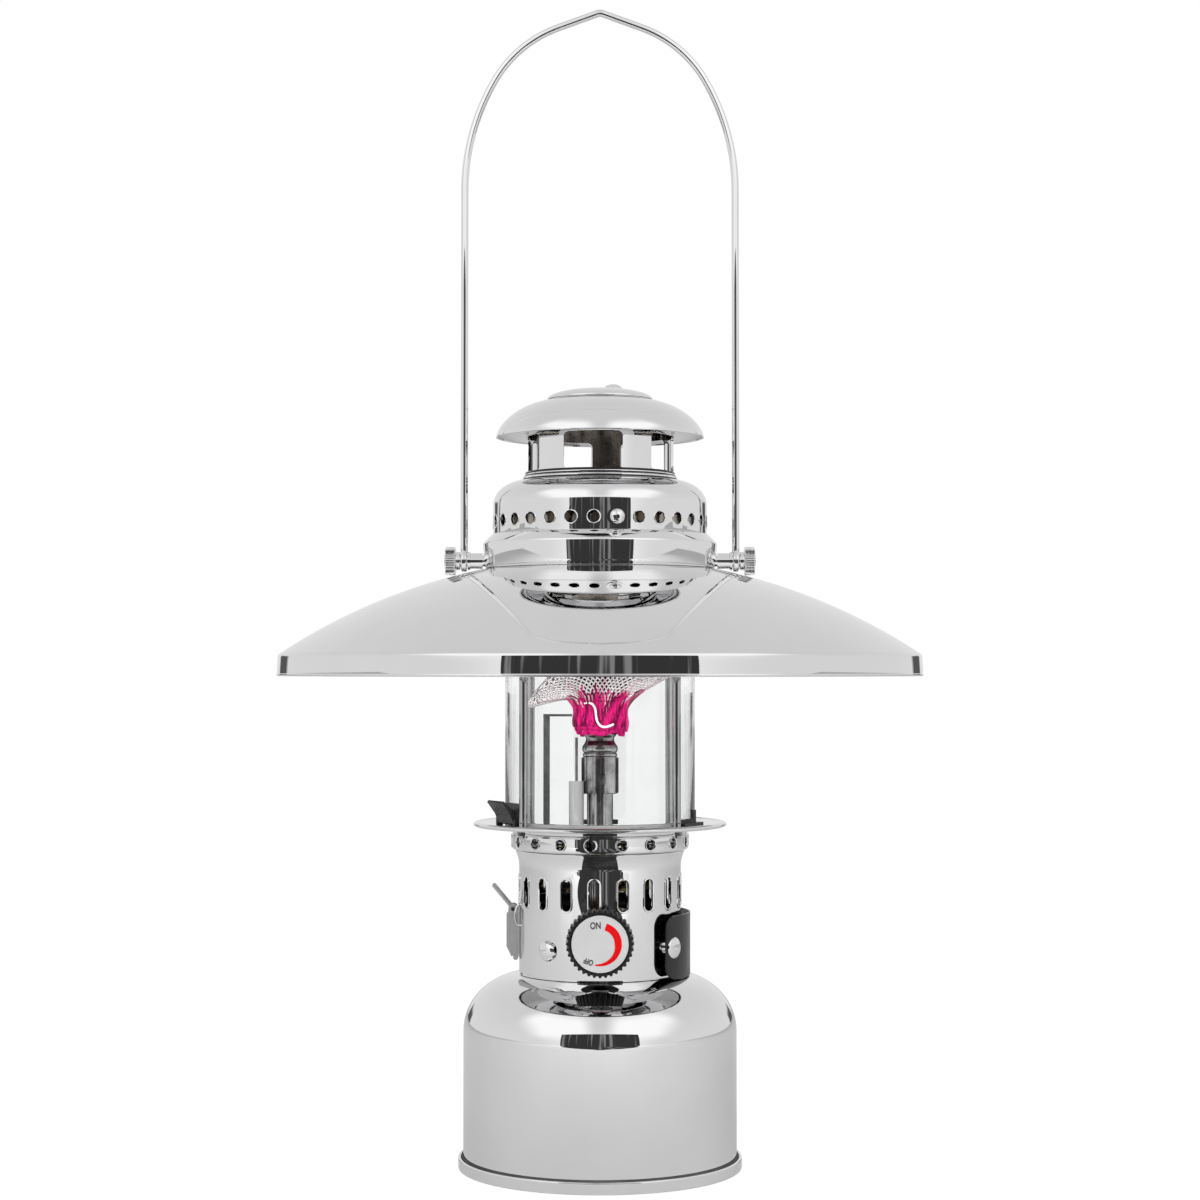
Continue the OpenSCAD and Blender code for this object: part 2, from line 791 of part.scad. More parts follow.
module latch_lever() {
    lean = 40;
    half = latch_w / 2 - 2;
    eye = latch_wire_r + run_gap;
    tip = latch_len * [0, -sin(lean), cos(lean)];
    color("silver") at_latch() difference() {
        union() {
            rotate([0, 90, 0]) cylinder(r = eye + 0.75, h = latch_w - 2.2, center = true);
            for (x = [-1, 1]) {
                bar([x * half, 0, 0], tip + [x * half, 0, 0], latch_wire_r);
                translate(tip + [x * half, 0, 0]) sphere(r = latch_wire_r + weld);
            }
            bar(tip - [half, 0, 0], tip + [half, 0, 0], latch_wire_r);
        }
        rotate([0, 90, 0]) cylinder(r = eye, h = 2 * latch_w, center = true);
    }
}

// Igniter and electrodes

module piezo_body() {
    bore_start = piezo_start + 7;
    color([0.1, 0.1, 0.1]) outward(180, base_h + piezo_up) difference() {
        translate([0, 0, piezo_start]) cylinder(r = piezo_r, h = piezo_end - piezo_start);
        translate([0, 0, bore_start]) cylinder(r = button_r + run_gap, h = piezo_end);
    }
}

module igniter_button() {
    stem_start = piezo_start + 7 + button_travel + pass_gap;
    color([0.7, 0.1, 0.08]) outward(180, base_h + piezo_up) {
        translate([0, 0, stem_start]) cylinder(r = button_r, h = button_head_in - stem_start);
        translate([0, 0, button_head_in]) spin(concat(
            [[0, 0], [button_r + 1.4, 0]],
            arc(button_r + 0.4, button_head_t - 1, 1, 1, 0, 90, 5),
            [[0, button_head_t]]
        ));
    }
}

module ignition_lead() {
    color([0.15, 0.15, 0.15]) sweep(lead_route, lead_r, 8, [1, 0.3, 0.1]);
}

module electrode_ceramic() {
    color("whitesmoke") translate([-ceramic_x, ceramic_y, gallery_top - ceramic_tail]) difference() {
        union() {
            cylinder(r = ceramic_r, h = ceramic_tail + ceramic_h);
            translate([0, 0, ceramic_tail - gallery_t - 2]) cylinder(r = ceramic_r + 0.6, h = 2);
        }
        translate([0, 0, 1]) cylinder(r = spark_r + fit_gap, h = ceramic_tail + ceramic_h);
    }
}

module spark_electrode() {
    foot = gallery_top - ceramic_tail + 1;
    color("dimgray") translate([-ceramic_x, ceramic_y, foot])
        cylinder(r = spark_r, h = mantle_foot - 0.8 - foot);
}

module ground_electrode() {
    strip_t = 0.9;
    arm = ground_x - mantle_collar_r - 1.6;
    foot_l = 8;
    color("gray") translate([-ground_x, ceramic_y, gallery_top]) {
        translate([-ground_w / 2, -strip_t / 2, 0]) cube([ground_w, strip_t, ground_h]);
        translate([-ground_w / 2, -ground_w / 2, ground_h - strip_t])
            cube([arm + ground_w / 2, ground_w, strip_t]);
        translate([-ground_w / 2, -strip_t / 2, 0]) cube([ground_w, foot_l, strip_t]);
    }
}

// Gallery and glass

module neck_collar() {
    lip_r = collar_r - collar_lip;
    color("silver") difference() {
        translate([0, 0, neck_top]) spin(sheet(
            [[lip_r, 0], [collar_r, 0], [collar_r, collar_h], [lip_r, collar_h]], neck_wall));
        round_about(slot_count, collar_turn, neck_top + collar_h / 2, collar_r)
            cylinder(r = collar_hole_r, h = collar_r);
    }
}

module gallery_plate() {
    bead_x = gallery_r - gallery_bead_r;
    step_slope = 0.9;
    lip_r = collar_r - collar_lip;
    color("silver") difference() {
        rotate_extrude() {
            polygon([
                [tube_r + fit_gap, gallery_under], [lip_r, gallery_under], [lip_r, collar_top],
                [collar_r, collar_top], [collar_r + step_slope, gallery_under], [bead_x, gallery_under],
                [bead_x, gallery_top], [tube_r + fit_gap, gallery_top]
            ]);
            translate([bead_x, gallery_top - gallery_t / 2]) circle(r = gallery_bead_r);
        }
        for (a = rod_angles)
            rotate([0, 0, a]) translate([rod_pcd_r, 0, gallery_under - over])
                cylinder(r = rod_r + fit_gap, h = gallery_t + 2 * over);
        translate([-ceramic_x, ceramic_y, gallery_under - over])
            cylinder(r = ceramic_r + fit_gap, h = gallery_t + 2 * over);
    }
}

module glass_gasket() {
    color("dimgray") translate([0, 0, gallery_top]) tube(glass_r, glass_r - glass_wall, gasket_t);
}

module glass_clips() {
    foot_t = 1;
    foot_l = 4.5;
    prong_w = 2.2;
    bar_share = 0.4;
    wide = clip_w + 2.5;
    from = glass_r + pass_gap;
    color([0.08, 0.08, 0.08]) for (a = clip_angles) rotate([0, 0, a]) {
        translate([-wide / 2, -from - clip_t, gallery_top]) cube([wide, clip_t, clip_h * bar_share]);
        for (x = [-wide / 2, wide / 2 - prong_w])
            translate([x, -from - clip_t, gallery_top]) cube([prong_w, clip_t, clip_h]);
        translate([-wide / 2, -from - foot_l, gallery_top]) cube([wide, foot_l, foot_t]);
    }
}

// The glass latch is drawn in a radius and height plane, and then turned to its place

module at_glass_latch(w) {
    rotate([0, 0, latch_clip_angle]) translate([-w / 2, 0, 0]) rotate([90, 0, 90])
        linear_extrude(w) mirror([1, 0]) children();
}

module glass_latch_ears() {
    ear_t = 1;
    reach = clip_w + 2 * (ear_t + pass_gap);
    color([0.08, 0.08, 0.08]) {
        rotate([0, 0, latch_clip_angle]) for (x = [-reach / 2, reach / 2 - ear_t])
            translate([x, -glass_latch_r - 1.3, gallery_top]) cube([ear_t, 2.6, 3]);
        rotate([0, 0, latch_clip_angle]) translate([-reach / 2, -glass_latch_r, glass_latch_z])
            rotate([0, 90, 0]) cylinder(r = glass_latch_pin_r, h = reach);
    }
}

module glass_latch() {
    from = glass_r + pass_gap;
    top = glass_latch_z + 7;
    color([0.08, 0.08, 0.08]) difference() {
        at_glass_latch(clip_w) polygon(concat(
            [[from, top], [from + 1.5, top], [from + 2.2, top - 3], [glass_latch_r + 1.5, top - 2.2],
             [glass_latch_r + 5.4, top + 1.2], [glass_latch_r + 6, top + 0.4],
             [glass_latch_r + 2.6, top - 4]],
            arc(glass_latch_r, glass_latch_z, 1.3, 1.3, 0, -150, 10),
            [[from, glass_latch_z + 1.4]]
        ));
        rotate([0, 0, latch_clip_angle]) translate([0, -glass_latch_r, glass_latch_z]) rotate([0, 90, 0])
            cylinder(r = glass_latch_pin_r + run_gap, h = 2 * clip_w, center = true);
    }
}

module support_rods() {
    foot = gallery_under - 3.4;
    color("silver") for (a = rod_angles) rotate([0, 0, a]) translate([rod_pcd_r, 0, foot])
        cylinder(r = rod_r, h = shade_seat_z - foot);
}

module rod_nuts() {
    nut_h = 2.4;
    color("silver") for (a = rod_angles)
        rotate([0, 0, a]) translate([rod_pcd_r, 0, gallery_under - nut_h]) difference() {
            cylinder(r = rod_r + 1.5, h = nut_h, $fn = 6);
            translate([0, 0, -over]) cylinder(r = rod_r + fit_gap, h = nut_h + 2 * over);
        }
}

module glass_cylinder() {
    color([0.85, 0.92, 0.95, 0.3]) translate([0, 0, glass_foot])
        tube(glass_r, glass_r - glass_wall, glass_h);
}

// Burner and mantle

module mixing_tube() {
    port_r = 2;
    port_z = valve_top + 12;
    top = gallery_top + tube_up;
    color("silver") difference() {
        union() {
            translate([0, 0, valve_top]) cylinder(r = tube_r, h = top - valve_top);
            translate([0, 0, gallery_under - 1.4]) cylinder(r = tube_r + 0.9, h = 1.4);
        }
        translate([0, 0, valve_top - over]) cylinder(r = tube_r - tube_wall, h = top - valve_top + 2 * over);
        for (a = [0, 90]) outward(a, port_z) cylinder(r = port_r, h = 4 * tube_r, center = true);
    }
}

module burner_sleeve() {
    port_w = 2.2;
    port_h = 5;
    foot = gallery_top + tube_up - burner_lap;
    color("gray") difference() {
        translate([0, 0, foot]) tube(burner_r, tube_r + fit_gap, burner_h);
        outward(0, foot + burner_lap + 3.5) linear_extrude(2 * burner_r) obround(port_w, port_h);
    }
}

module burner_head() {
    flow_r = waist_r - 1.6;
    rise = head_h / 5;
    color("dimgray") spin([
        [flow_r, head_z], [burner_r, head_z], [burner_r, head_z + rise],
        [burner_r - 0.3, head_z + 1.6 * rise], [waist_r, head_z + 2.6 * rise],
        [waist_r, head_z + 3.2 * rise], [burner_r - 0.4, head_z + 3.7 * rise],
        [burner_r - 0.4, head_z + head_h], [flow_r, head_z + head_h]
    ]);
}

// Height and radius of the mantle's outer and inner face, from the top down and up again
function mantle_line(inset) = concat(
    arc(0, flare_z + mantle_flare_h, mantle_r - inset, mantle_top_h - inset, 76, 0, 6),
    [for (i = [1:6])
        let (s = 1 - i / 6)
        let (r = mantle_collar_r + (mantle_r - mantle_collar_r) * s * s)
        [r - inset, flare_z + mantle_flare_h * pow(s, 0.8)]],
    [[mantle_collar_r - inset, flare_z - mantle_collar_h / 2], [mantle_collar_r - inset - 0.4, mantle_foot]]
);

// Depth of the gathers at a radius
function gather(r) = min(0.05 * r, 0.35 + 0.02 * r);

module mantle() {
    sides = 3 * mantle_gathers;
    outer = mantle_line(0);
    inner = mantle_line(mantle_t);
    line = concat(outer, [for (i = [len(inner) - 1:-1:0]) inner[i]]);
    rings = len(line);
    top = flare_z + mantle_flare_h + mantle_top_h;
    points = concat(
        [for (p = line, k = [0:sides - 1])
            let (a = 360 * k / sides)
            let (r = p[0] + gather(p[0]) * cos(a * mantle_gathers))
            [r * cos(a), r * sin(a), p[1]]],
        [[0, 0, top], [0, 0, top - mantle_t]]
    );
    last = (rings - 1) * sides;
    walls = [
        for (i = [0:rings - 2], k = [0:sides - 1])
            let (a = i * sides + k)
            let (b = i * sides + (k + 1) % sides)
            each [[a, b, b + sides], [a, b + sides, a + sides]]
    ];
    top_fan = [for (k = [0:sides - 1]) [rings * sides, (k + 1) % sides, k]];
    inner_fan = [for (k = [0:sides - 1]) [rings * sides + 1, last + k, last + (k + 1) % sides]];
    color("mistyrose") polyhedron(points, concat(walls, top_fan, inner_fan));
}

module mantle_tie() {
    cord_r = 0.6;
    tie_r = mantle_collar_r + gather(mantle_collar_r) + cord_r + 0.1;
    color("white") translate([0, 0, mantle_foot + 4])
        rotate_extrude() translate([tie_r, 0]) circle(r = cord_r, $fn = 16);
}

// Shade

module top_ring() {
    inner_r = glass_r - glass_wall - 2.5;
    color("silver") difference() {
        translate([0, 0, ring_z]) tube(seat_r - 0.2, inner_r, ring_t);
        for (a = rod_angles) rotate([0, 0, a]) translate([rod_pcd_r, 0, ring_z - over])
            cylinder(r = rod_r + fit_gap, h = ring_t + 2 * over);
    }
}

module shade() {
    dome_z = hood_z - sqrt(shade_dome_r * shade_dome_r - seat_r * seat_r);
    edge_r = shade_r - band_flare - 0.9;
    low = acos(edge_r / shade_dome_r);
    high = acos(seat_r / shade_dome_r);
    band_top = dome_z + shade_dome_r * sin(low);
    hole_r = glass_r - glass_wall + 0.4;
    line = concat(
        [[shade_r, band_top - band_h], [shade_r - band_flare, band_top - 1]],
        arc(0, dome_z, shade_dome_r, shade_dome_r, low, high, 24),
        [[hole_r, hood_z]]
    );
    color("gainsboro") spin(sheet(line, shade_wall));
}

// Hood

module hood_lower() {
    foot_r = hood_r - 1;
    slope_h = 3.6;
    edge = 0.8;
    brim_z = vent_z - slope_h;
    flange_r = glass_r - glass_wall + 1;
    line = [
        [flange_r, hood_z], [foot_r, hood_z], [hood_r, brim_z - edge], [hood_r - edge, brim_z],
        [vent_r + 0.4, vent_z], [flange_r, vent_z]
    ];
    color("silver") difference() {
        spin(sheet(line, hood_wall));
        rotate([0, 90, 0]) translate([-pivot_z, 0, 0])
            cylinder(r = stud_r + fit_gap, h = 4 * hood_r, center = true);
    }
}

module hood_upper() {
    line = concat(
        [[vent_r, vent_z]],
        arc(vent_r - vent_round_w, chimney_z - vent_round, vent_round_w, vent_round, 0, 90, 16),
        [[chimney_r - 2.5, chimney_z]]
    );
    color("silver") difference() {
        spin(sheet(line, hood_wall));
        round_about(vent_count, vent_turn, vent_z + vent_up, vent_r)
            cylinder(r = vent_hole_r, h = vent_r);
    }
}

module heat_shield() {
    color("dimgray") difference() {
        translate([0, 0, vent_z]) tube(shield_r, shield_r - hood_wall, shield_h);
        for (a = [0, 120, 240]) outward(vent_turn + a, vent_z + vent_up)
            cylinder(r = screw_r + fit_gap, h = 2 * vent_r);
    }
}

module hood_screws() {
    washer = 0.8;
    head = vent_hole_r + 0.4;
    color("silver") for (a = [0, 120, 240]) outward(vent_turn + a, vent_z + vent_up) {
        translate([0, 0, vent_r + fit_gap]) cylinder(r = vent_hole_r + 1.4, h = washer);
        translate([0, 0, vent_r + washer])
            dome_screw(head, screw_r, small_head_h, washer + vent_r - shield_r + hood_wall);
    }
}

// Chimney and cap

module chimney_ring() {
    foot_bead = 1.6;
    top_bead = 0.6;
    foot_h = 1.4;
    line = [
        [chimney_r + foot_bead, 0], [chimney_r + foot_bead, foot_h], [chimney_r + top_bead, foot_h],
        [chimney_r + top_bead, 2 * foot_h], [chimney_r, 2 * foot_h], [chimney_r, chimney_h], [0, chimney_h]
    ];
    color("silver") difference() {
        translate([0, 0, chimney_z]) spin(sheet(line, hood_wall));
        for (i = [0:window_count - 1])
            outward(window_turn + i * 360 / window_count, chimney_z + window_up + window_h / 2)
                linear_extrude(2 * chimney_r) rounded_plate(window_w, window_h, 2);
        translate([rivet_x, 0, chimney_top - 2 * hood_wall]) cylinder(r = rivet_shank_r + fit_gap, h = 4);
    }
}

module cap_spacer() {
    color("silver") translate([rivet_x, 0, chimney_top])
        tube(rivet_shank_r + 1.5, rivet_shank_r + fit_gap, cap_lift - 0.1);
}

module cap() {
    crown_r = 16;
    line = concat(
        arc(crown_r, cap_top - cap_h, cap_r - crown_r, cap_h, 0, 90, 20),
        [[0, cap_top]]
    );
    color("silver") difference() {
        spin(sheet(line, hood_wall));
        translate([rivet_x, 0, cap_top - 2 * hood_wall]) cylinder(r = rivet_shank_r + fit_gap, h = 4);
    }
}

module cap_disc() {
    flat = 84;
    line = concat(
        arc(0, cap_top + fit_gap, cap_disc_r, cap_disc_h, 0, flat, 14),
        [[0, cap_top + fit_gap + cap_disc_h * sin(flat)]]
    );
    color("silver") difference() {
        spin(sheet(line, hood_wall));
        translate([rivet_x, 0, cap_top]) cylinder(r = rivet_shank_r + fit_gap, h = 2 * cap_disc_h);
    }
}

module cap_rivet() {
    foot = chimney_top - hood_wall;
    seat = cap_top + cap_disc_h + 2 * fit_gap;
    color("silver") translate([rivet_x, 0, 0]) {
        translate([0, 0, foot]) cylinder(r = rivet_shank_r, h = seat - foot);
        translate([0, 0, seat]) spin(concat([[0, 0]], arc(0, 0, rivet_head_r, 2, 0, 90, 8)));
    }
}

// Bail, with studs and thumb nuts on both sides

module both_sides() {
    for (x = [0, 1]) mirror([x, 0, 0]) translate([0, 0, pivot_z]) rotate([0, 90, 0]) children();
}

module bail_studs() {
    spacer_in = hood_r + 4 * fit_gap;
    color("silver") both_sides() {
        translate([0, 0, stud_in]) cylinder(r = stud_r, h = stud_out - stud_in);
        translate([0, 0, spacer_in]) cylinder(r = stud_r + 0.9, h = washer_x - fit_gap - spacer_in);
    }
}

module bail_washers() {
    color("silver") both_sides() translate([0, 0, washer_x])
        tube(stud_r + 1.4, stud_r + fit_gap, washer_t);
}

// Bent wire in the bail's plane
module bend(cx, cz, r, from, to) {
    translate([cx, 0, cz]) rotate([90, 0, 0]) rotate([0, 0, from])
        rotate_extrude(angle = to - from) translate([r, 0]) circle(r = bail_wire_r);
}

module half_bail() {
    side_x = bail_x - side_bend_r;
    top_x = side_x + (side_bend_r - top_bend_r) * cos(side_bend);
    top_z = arch_z + (side_bend_r - top_bend_r) * sin(side_bend);
    peak_z = arch_z + arch_h;
    translate([bail_x, 0, eye_r - 1]) cylinder(r = bail_wire_r, h = arch_z - eye_r + 1);
    bend(side_x, arch_z, side_bend_r, 0, side_bend);
    bend(top_x, top_z, top_bend_r, side_bend, 90 - peak_slope);
    bar([peak_w, 0, peak_z - peak_rise], [0, 0, peak_z], bail_wire_r);
    welds = [
        [bail_x, arch_z], [side_bend_x, arch_z + side_bend_r * sin(side_bend)],
        [peak_w, peak_z - peak_rise]
    ];
    for (p = welds) translate([p[0], 0, p[1]]) sphere(r = bail_wire_r + weld);
    rotate([0, 90, 0]) translate([0, 0, bail_x - eye_t / 2]) cylinder(r = eye_r, h = eye_t);
}

module bail() {
    color("silver") difference() {
        translate([0, 0, pivot_z]) {
            half_bail();
            mirror([1, 0, 0]) half_bail();
            translate([0, 0, arch_z + arch_h]) sphere(r = bail_wire_r + weld);
        }
        both_sides() translate([0, 0, bail_x - eye_t]) cylinder(r = stud_r + run_gap, h = 2 * eye_t);
    }
}

module thumb_nut() {
    difference() {
        union() {
            translate([0, 0, nut_x]) cylinder(r = nut_r - 2, h = nut_neck_t);
            translate([0, 0, nut_x + nut_neck_t]) linear_extrude(nut_t)
                knurl(nut_r, nut_ridges, nut_ridge_h);
        }
        translate([0, 0, nut_x - over])
            cylinder(r = stud_r + run_gap, h = nut_neck_t + nut_t + 2 * over);
    }
}

module thumb_nut_left() {
    color("silver") mirror([1, 0, 0]) translate([0, 0, pivot_z]) rotate([0, 90, 0]) thumb_nut();
}

module thumb_nut_right() {
    color("silver") translate([0, 0, pivot_z]) rotate([0, 90, 0]) thumb_nut();
}

bottom_cover();
base_shell();
gas_cartridge();
cartridge_seal();
piercing_needle();
valve_body();
valve_spindle();
gland_nut();
control_knob();
knob_dial();
dial_mark();
gas_jet();
foot_ring();
neck_shell();
neck_screws();
label_plate();
label_spacers();
label_screws();
latch_bracket();
latch_pin();
latch_lever();
piezo_body();
igniter_button();
ignition_lead();
electrode_ceramic();
spark_electrode();
ground_electrode();
neck_collar();
gallery_plate();
glass_gasket();
glass_clips();
glass_latch_ears();
glass_latch();
support_rods();
rod_nuts();
glass_cylinder();
mixing_tube();
burner_sleeve();
burner_head();
mantle();
mantle_tie();
top_ring();
shade();
hood_lower();
hood_upper();
heat_shield();
hood_screws();
chimney_ring();
cap_spacer();
cap();
cap_disc();
cap_rivet();
bail_studs();
bail_washers();
bail();
thumb_nut_left();
thumb_nut_right();
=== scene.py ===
import json
import math

import bmesh
import bpy
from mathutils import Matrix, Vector


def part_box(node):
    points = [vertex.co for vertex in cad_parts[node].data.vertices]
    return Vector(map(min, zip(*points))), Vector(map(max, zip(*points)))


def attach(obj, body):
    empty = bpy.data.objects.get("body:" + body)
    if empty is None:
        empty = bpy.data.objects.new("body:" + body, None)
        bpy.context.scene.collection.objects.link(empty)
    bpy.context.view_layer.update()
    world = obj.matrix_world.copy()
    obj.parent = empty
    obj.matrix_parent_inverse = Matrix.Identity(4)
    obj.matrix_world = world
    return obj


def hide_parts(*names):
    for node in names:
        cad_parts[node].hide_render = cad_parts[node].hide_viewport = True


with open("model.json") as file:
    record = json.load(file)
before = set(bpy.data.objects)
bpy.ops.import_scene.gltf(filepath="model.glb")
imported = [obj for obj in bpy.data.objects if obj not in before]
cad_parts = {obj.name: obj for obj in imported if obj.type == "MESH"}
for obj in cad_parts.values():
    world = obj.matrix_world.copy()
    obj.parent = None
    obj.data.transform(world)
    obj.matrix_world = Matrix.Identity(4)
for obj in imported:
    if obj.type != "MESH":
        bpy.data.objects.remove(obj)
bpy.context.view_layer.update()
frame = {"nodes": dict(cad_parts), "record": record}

MM = 0.001
SEGMENTS = 192
TINY = 1e-6


# Places, in millimetres, taken from the frame

def low(node):
    return [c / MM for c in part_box(node)[0]]


def high(node):
    return [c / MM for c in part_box(node)[1]]


def foot(node):
    return low(node)[2]


def top(node):
    return high(node)[2]


def radius(node):
    return (high(node)[0] - low(node)[0]) / 2


# Outlines, as lists of (radius, height) in millimetres

def arc(cx, cz, rx, rz, start, end, steps):
    turns = [math.radians(start + (end - start) * i / steps) for i in range(steps + 1)]
    return [(cx + rx * math.cos(a), cz + rz * math.sin(a)) for a in turns]


def unit(x, y):
    length = math.hypot(x, y)
    return x / length, y / length


def sheet_metal(line, thickness):
    """Closed outline of a sheet that follows a line, with its thickness on the left and rounded ends."""
    sides = []
    for (x0, y0), (x1, y1) in zip(line, line[1:]):
        dx, dy = unit(x1 - x0, y1 - y0)
        sides.append((-dy, dx))
    back = []
    for i, (x, y) in enumerate(line):
        first = sides[max(i - 1, 0)]
        second = sides[min(i, len(sides) - 1)]
        mx, my = unit(first[0] + second[0], first[1] + second[1])
        reach = thickness / (mx * first[0] + my * first[1])
        back.append((x + mx * reach, y + my * reach))
    return fillet(line + back[::-1], thickness * 0.42, 3)


def fillet(outline, r, steps=4, least=28):
    """Rounds the corners of a closed outline that turn by more than a least angle."""
    rounded = []
    count = len(outline)
    for i in range(count):
        p, here, n = outline[i - 1], outline[i], outline[(i + 1) % count]
        before, after = math.dist(p, here), math.dist(here, n)
        if min(before, after) < TINY:
            rounded.append(here)
            continue
        ux, uy = (p[0] - here[0]) / before, (p[1] - here[1]) / before
        vx, vy = (n[0] - here[0]) / after, (n[1] - here[1]) / after
        inside = math.acos(max(-1, min(1, ux * vx + uy * vy)))
        if math.degrees(math.pi - inside) < least or here[0] < TINY:
            rounded.append(here)
            continue
        cut = min(r / math.tan(inside / 2), 0.45 * before, 0.45 * after)
        a = (here[0] + ux * cut, here[1] + uy * cut)
        b = (here[0] + vx * cut, here[1] + vy * cut)
        for s in range(steps + 1):
            t = s / steps
            rounded.append(tuple(
                (1 - t) ** 2 * a[k] + 2 * t * (1 - t) * here[k] + t ** 2 * b[k] for k in (0, 1)))
    return rounded


def eased(path, rounds=2):
    """Cuts the corners of an open path, in rounds, and keeps its ends."""
    for _ in range(rounds):
        softer = [path[0]]
        for p, n in zip(path, path[1:]):
            softer += [tuple(0.75 * a + 0.25 * b for a, b in zip(p, n)),
                       tuple(0.25 * a + 0.75 * b for a, b in zip(p, n))]
        path = softer + [path[-1]]
    return path


# Meshes, as a list of points in millimetres and a list of faces

def lathe(outline, segments=SEGMENTS, ripple=None):
    """Solid of revolution. ripple(angle, radius, height) may add to the radius."""
    verts, rows = [], []
    for r, z in outline:
        if r < TINY:
            rows.append([len(verts)] * segments)
            verts.append((0, 0, z))
            continue
        rows.append(list(range(len(verts), len(verts) + segments)))
        for k in range(segments):
            a = 2 * math.pi * k / segments
            reach = r + (ripple(a, r, z) if ripple else 0)
            verts.append((reach * math.cos(a), reach * math.sin(a), z))
    faces = []
    for i, row in enumerate(rows):
        following = rows[(i + 1) % len(rows)]
        for k in range(segments):
            n = (k + 1) % segments
            face = []
            for v in (row[k], row[n], following[n], following[k]):
                if v not in face:
                    face.append(v)
            if len(face) > 2:
                faces.append(face)
    return verts, faces


def tube(path, r, sides=10, closed=False, up=(0, 0, 1)):
    """Round wire along a path, with one radius or a radius per point."""
    points = [Vector(p) for p in path]
    count = len(points)
    verts, faces = [], []
    u = None
    for i, p in enumerate(points):
        ahead = points[(i + 1) % count] if closed or i < count - 1 else p
        behind = points[i - 1] if closed or i > 0 else p
        d = (ahead - behind).normalized()
        if u is None:
            u = d.cross(Vector(up))
            u = u if u.length > 1e-3 else d.cross(Vector((1, 0, 0)))
        u = (u - d * u.dot(d)).normalized()
        v = d.cross(u)
        size = r[i] if isinstance(r, (list, tuple)) else r
        for k in range(sides):
            a = 2 * math.pi * k / sides
            verts.append(p + size * (u * math.cos(a) + v * math.sin(a)))
    for i in range(count if closed else count - 1):
        a, b = i * sides, ((i + 1) % count) * sides
        for k in range(sides):
            n = (k + 1) % sides
            faces.append([a + k, a + n, b + n, b + k])
    if not closed:
        faces.append(list(range(sides))[::-1])
        faces.append(list(range((count - 1) * sides, count * sides)))
    return [tuple(v) for v in verts], faces


def prism(outline, depth):
    """Closed straight prism of an outline in X and Y, from zero to a depth along Z."""
    count = len(outline)
    verts = [(x, y, 0) for x, y in outline] + [(x, y, depth) for x, y in outline]
    faces = [list(range(count))[::-1], list(range(count, 2 * count))]
    for k in range(count):
        n = (k + 1) % count
        faces.append([k, n, n + count, k + count])
    return verts, faces


def join(*meshes):
    verts, faces = [], []
    for points, polygons in meshes:
        start = len(verts)
        verts.extend(points)
        faces.extend([[start + v for v in f] for f in polygons])
    return verts, faces


def placed(mesh, place):
    return [place(v) for v in mesh[0]], mesh[1]


def outwards(turn, z):
    """Place of a shape drawn along +Z that points outwards at a turn from the front, its Y upwards."""
    a = math.radians(turn)

    def place(v):
        x, y, out = v
        return x * math.cos(a) + out * math.sin(a), x * math.sin(a) - out * math.cos(a), z + y
    return place


def obround(w, h, steps=8):
    r, up = w / 2, (h - w) / 2
    return arc(0, up, r, r, 0, 180, steps) + arc(0, -up, r, r, 180, 360, steps)


def rounded_rectangle(w, h, r, steps=5):
    x, y = w / 2 - r, h / 2 - r
    return (arc(x, y, r, r, 0, 90, steps) + arc(-x, y, r, r, 90, 180, steps)
            + arc(-x, -y, r, r, 180, 270, steps) + arc(x, -y, r, r, 270, 360, steps))


def circle(r, steps=20):
    return arc(0, 0, r, r, 0, 360, steps)[:-1]


def wrapped(outline, wall_r, turn, z):
    """An outline laid on a round wall, as a closed path in space."""
    return [(wall_r * math.sin(math.radians(turn) + x / wall_r),
             -wall_r * math.cos(math.radians(turn) + x / wall_r), z + y) for x, y in outline]


# Pieces

def smoothed(data, sharp):
    data.polygons.foreach_set("use_smooth", [True] * len(data.polygons))
    data.set_sharp_from_angle(angle=math.radians(sharp))


def mesh_object(name, mesh, sharp=32):
    data = bpy.data.meshes.new(name)
    data.from_pydata([[c * MM for c in v] for v in mesh[0]], [], mesh[1])
    data.validate()
    piece = bpy.data.objects.new(name, data)
    bpy.context.scene.collection.objects.link(piece)
    smoothed(data, sharp)
    return piece


def faced_outwards(piece):
    """Turns every face of a closed mesh outwards."""
    work = bmesh.new()
    work.from_mesh(piece.data)
    bmesh.ops.recalc_face_normals(work, faces=work.faces)
    work.to_mesh(piece.data)
    work.free()


def drilled(piece, cutters, sharp=32):
    """Cuts closed meshes out of a piece."""
    tool = mesh_object("cutter", join(*cutters))
    faced_outwards(tool)
    cut = piece.modifiers.new("holes", "BOOLEAN")
    cut.operation = "DIFFERENCE"
    cut.solver = "MANIFOLD"
    cut.object = tool
    depsgraph = bpy.context.evaluated_depsgraph_get()
    data = bpy.data.meshes.new_from_object(piece.evaluated_get(depsgraph))
    piece.modifiers.clear()
    piece.data = data
    bpy.data.objects.remove(tool)
    smoothed(data, sharp)


def make(name, mesh, material, body="lantern", replaces=(), holes=(), sharp=32):
    piece = mesh_object(name, mesh, sharp)
    faced_outwards(piece)
    if holes:
        drilled(piece, holes, sharp)
    piece.data.materials.clear()
    piece.data.materials.append(material)
    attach(piece, body)
    if replaces:
        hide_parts(*replaces)
    return piece


# Materials

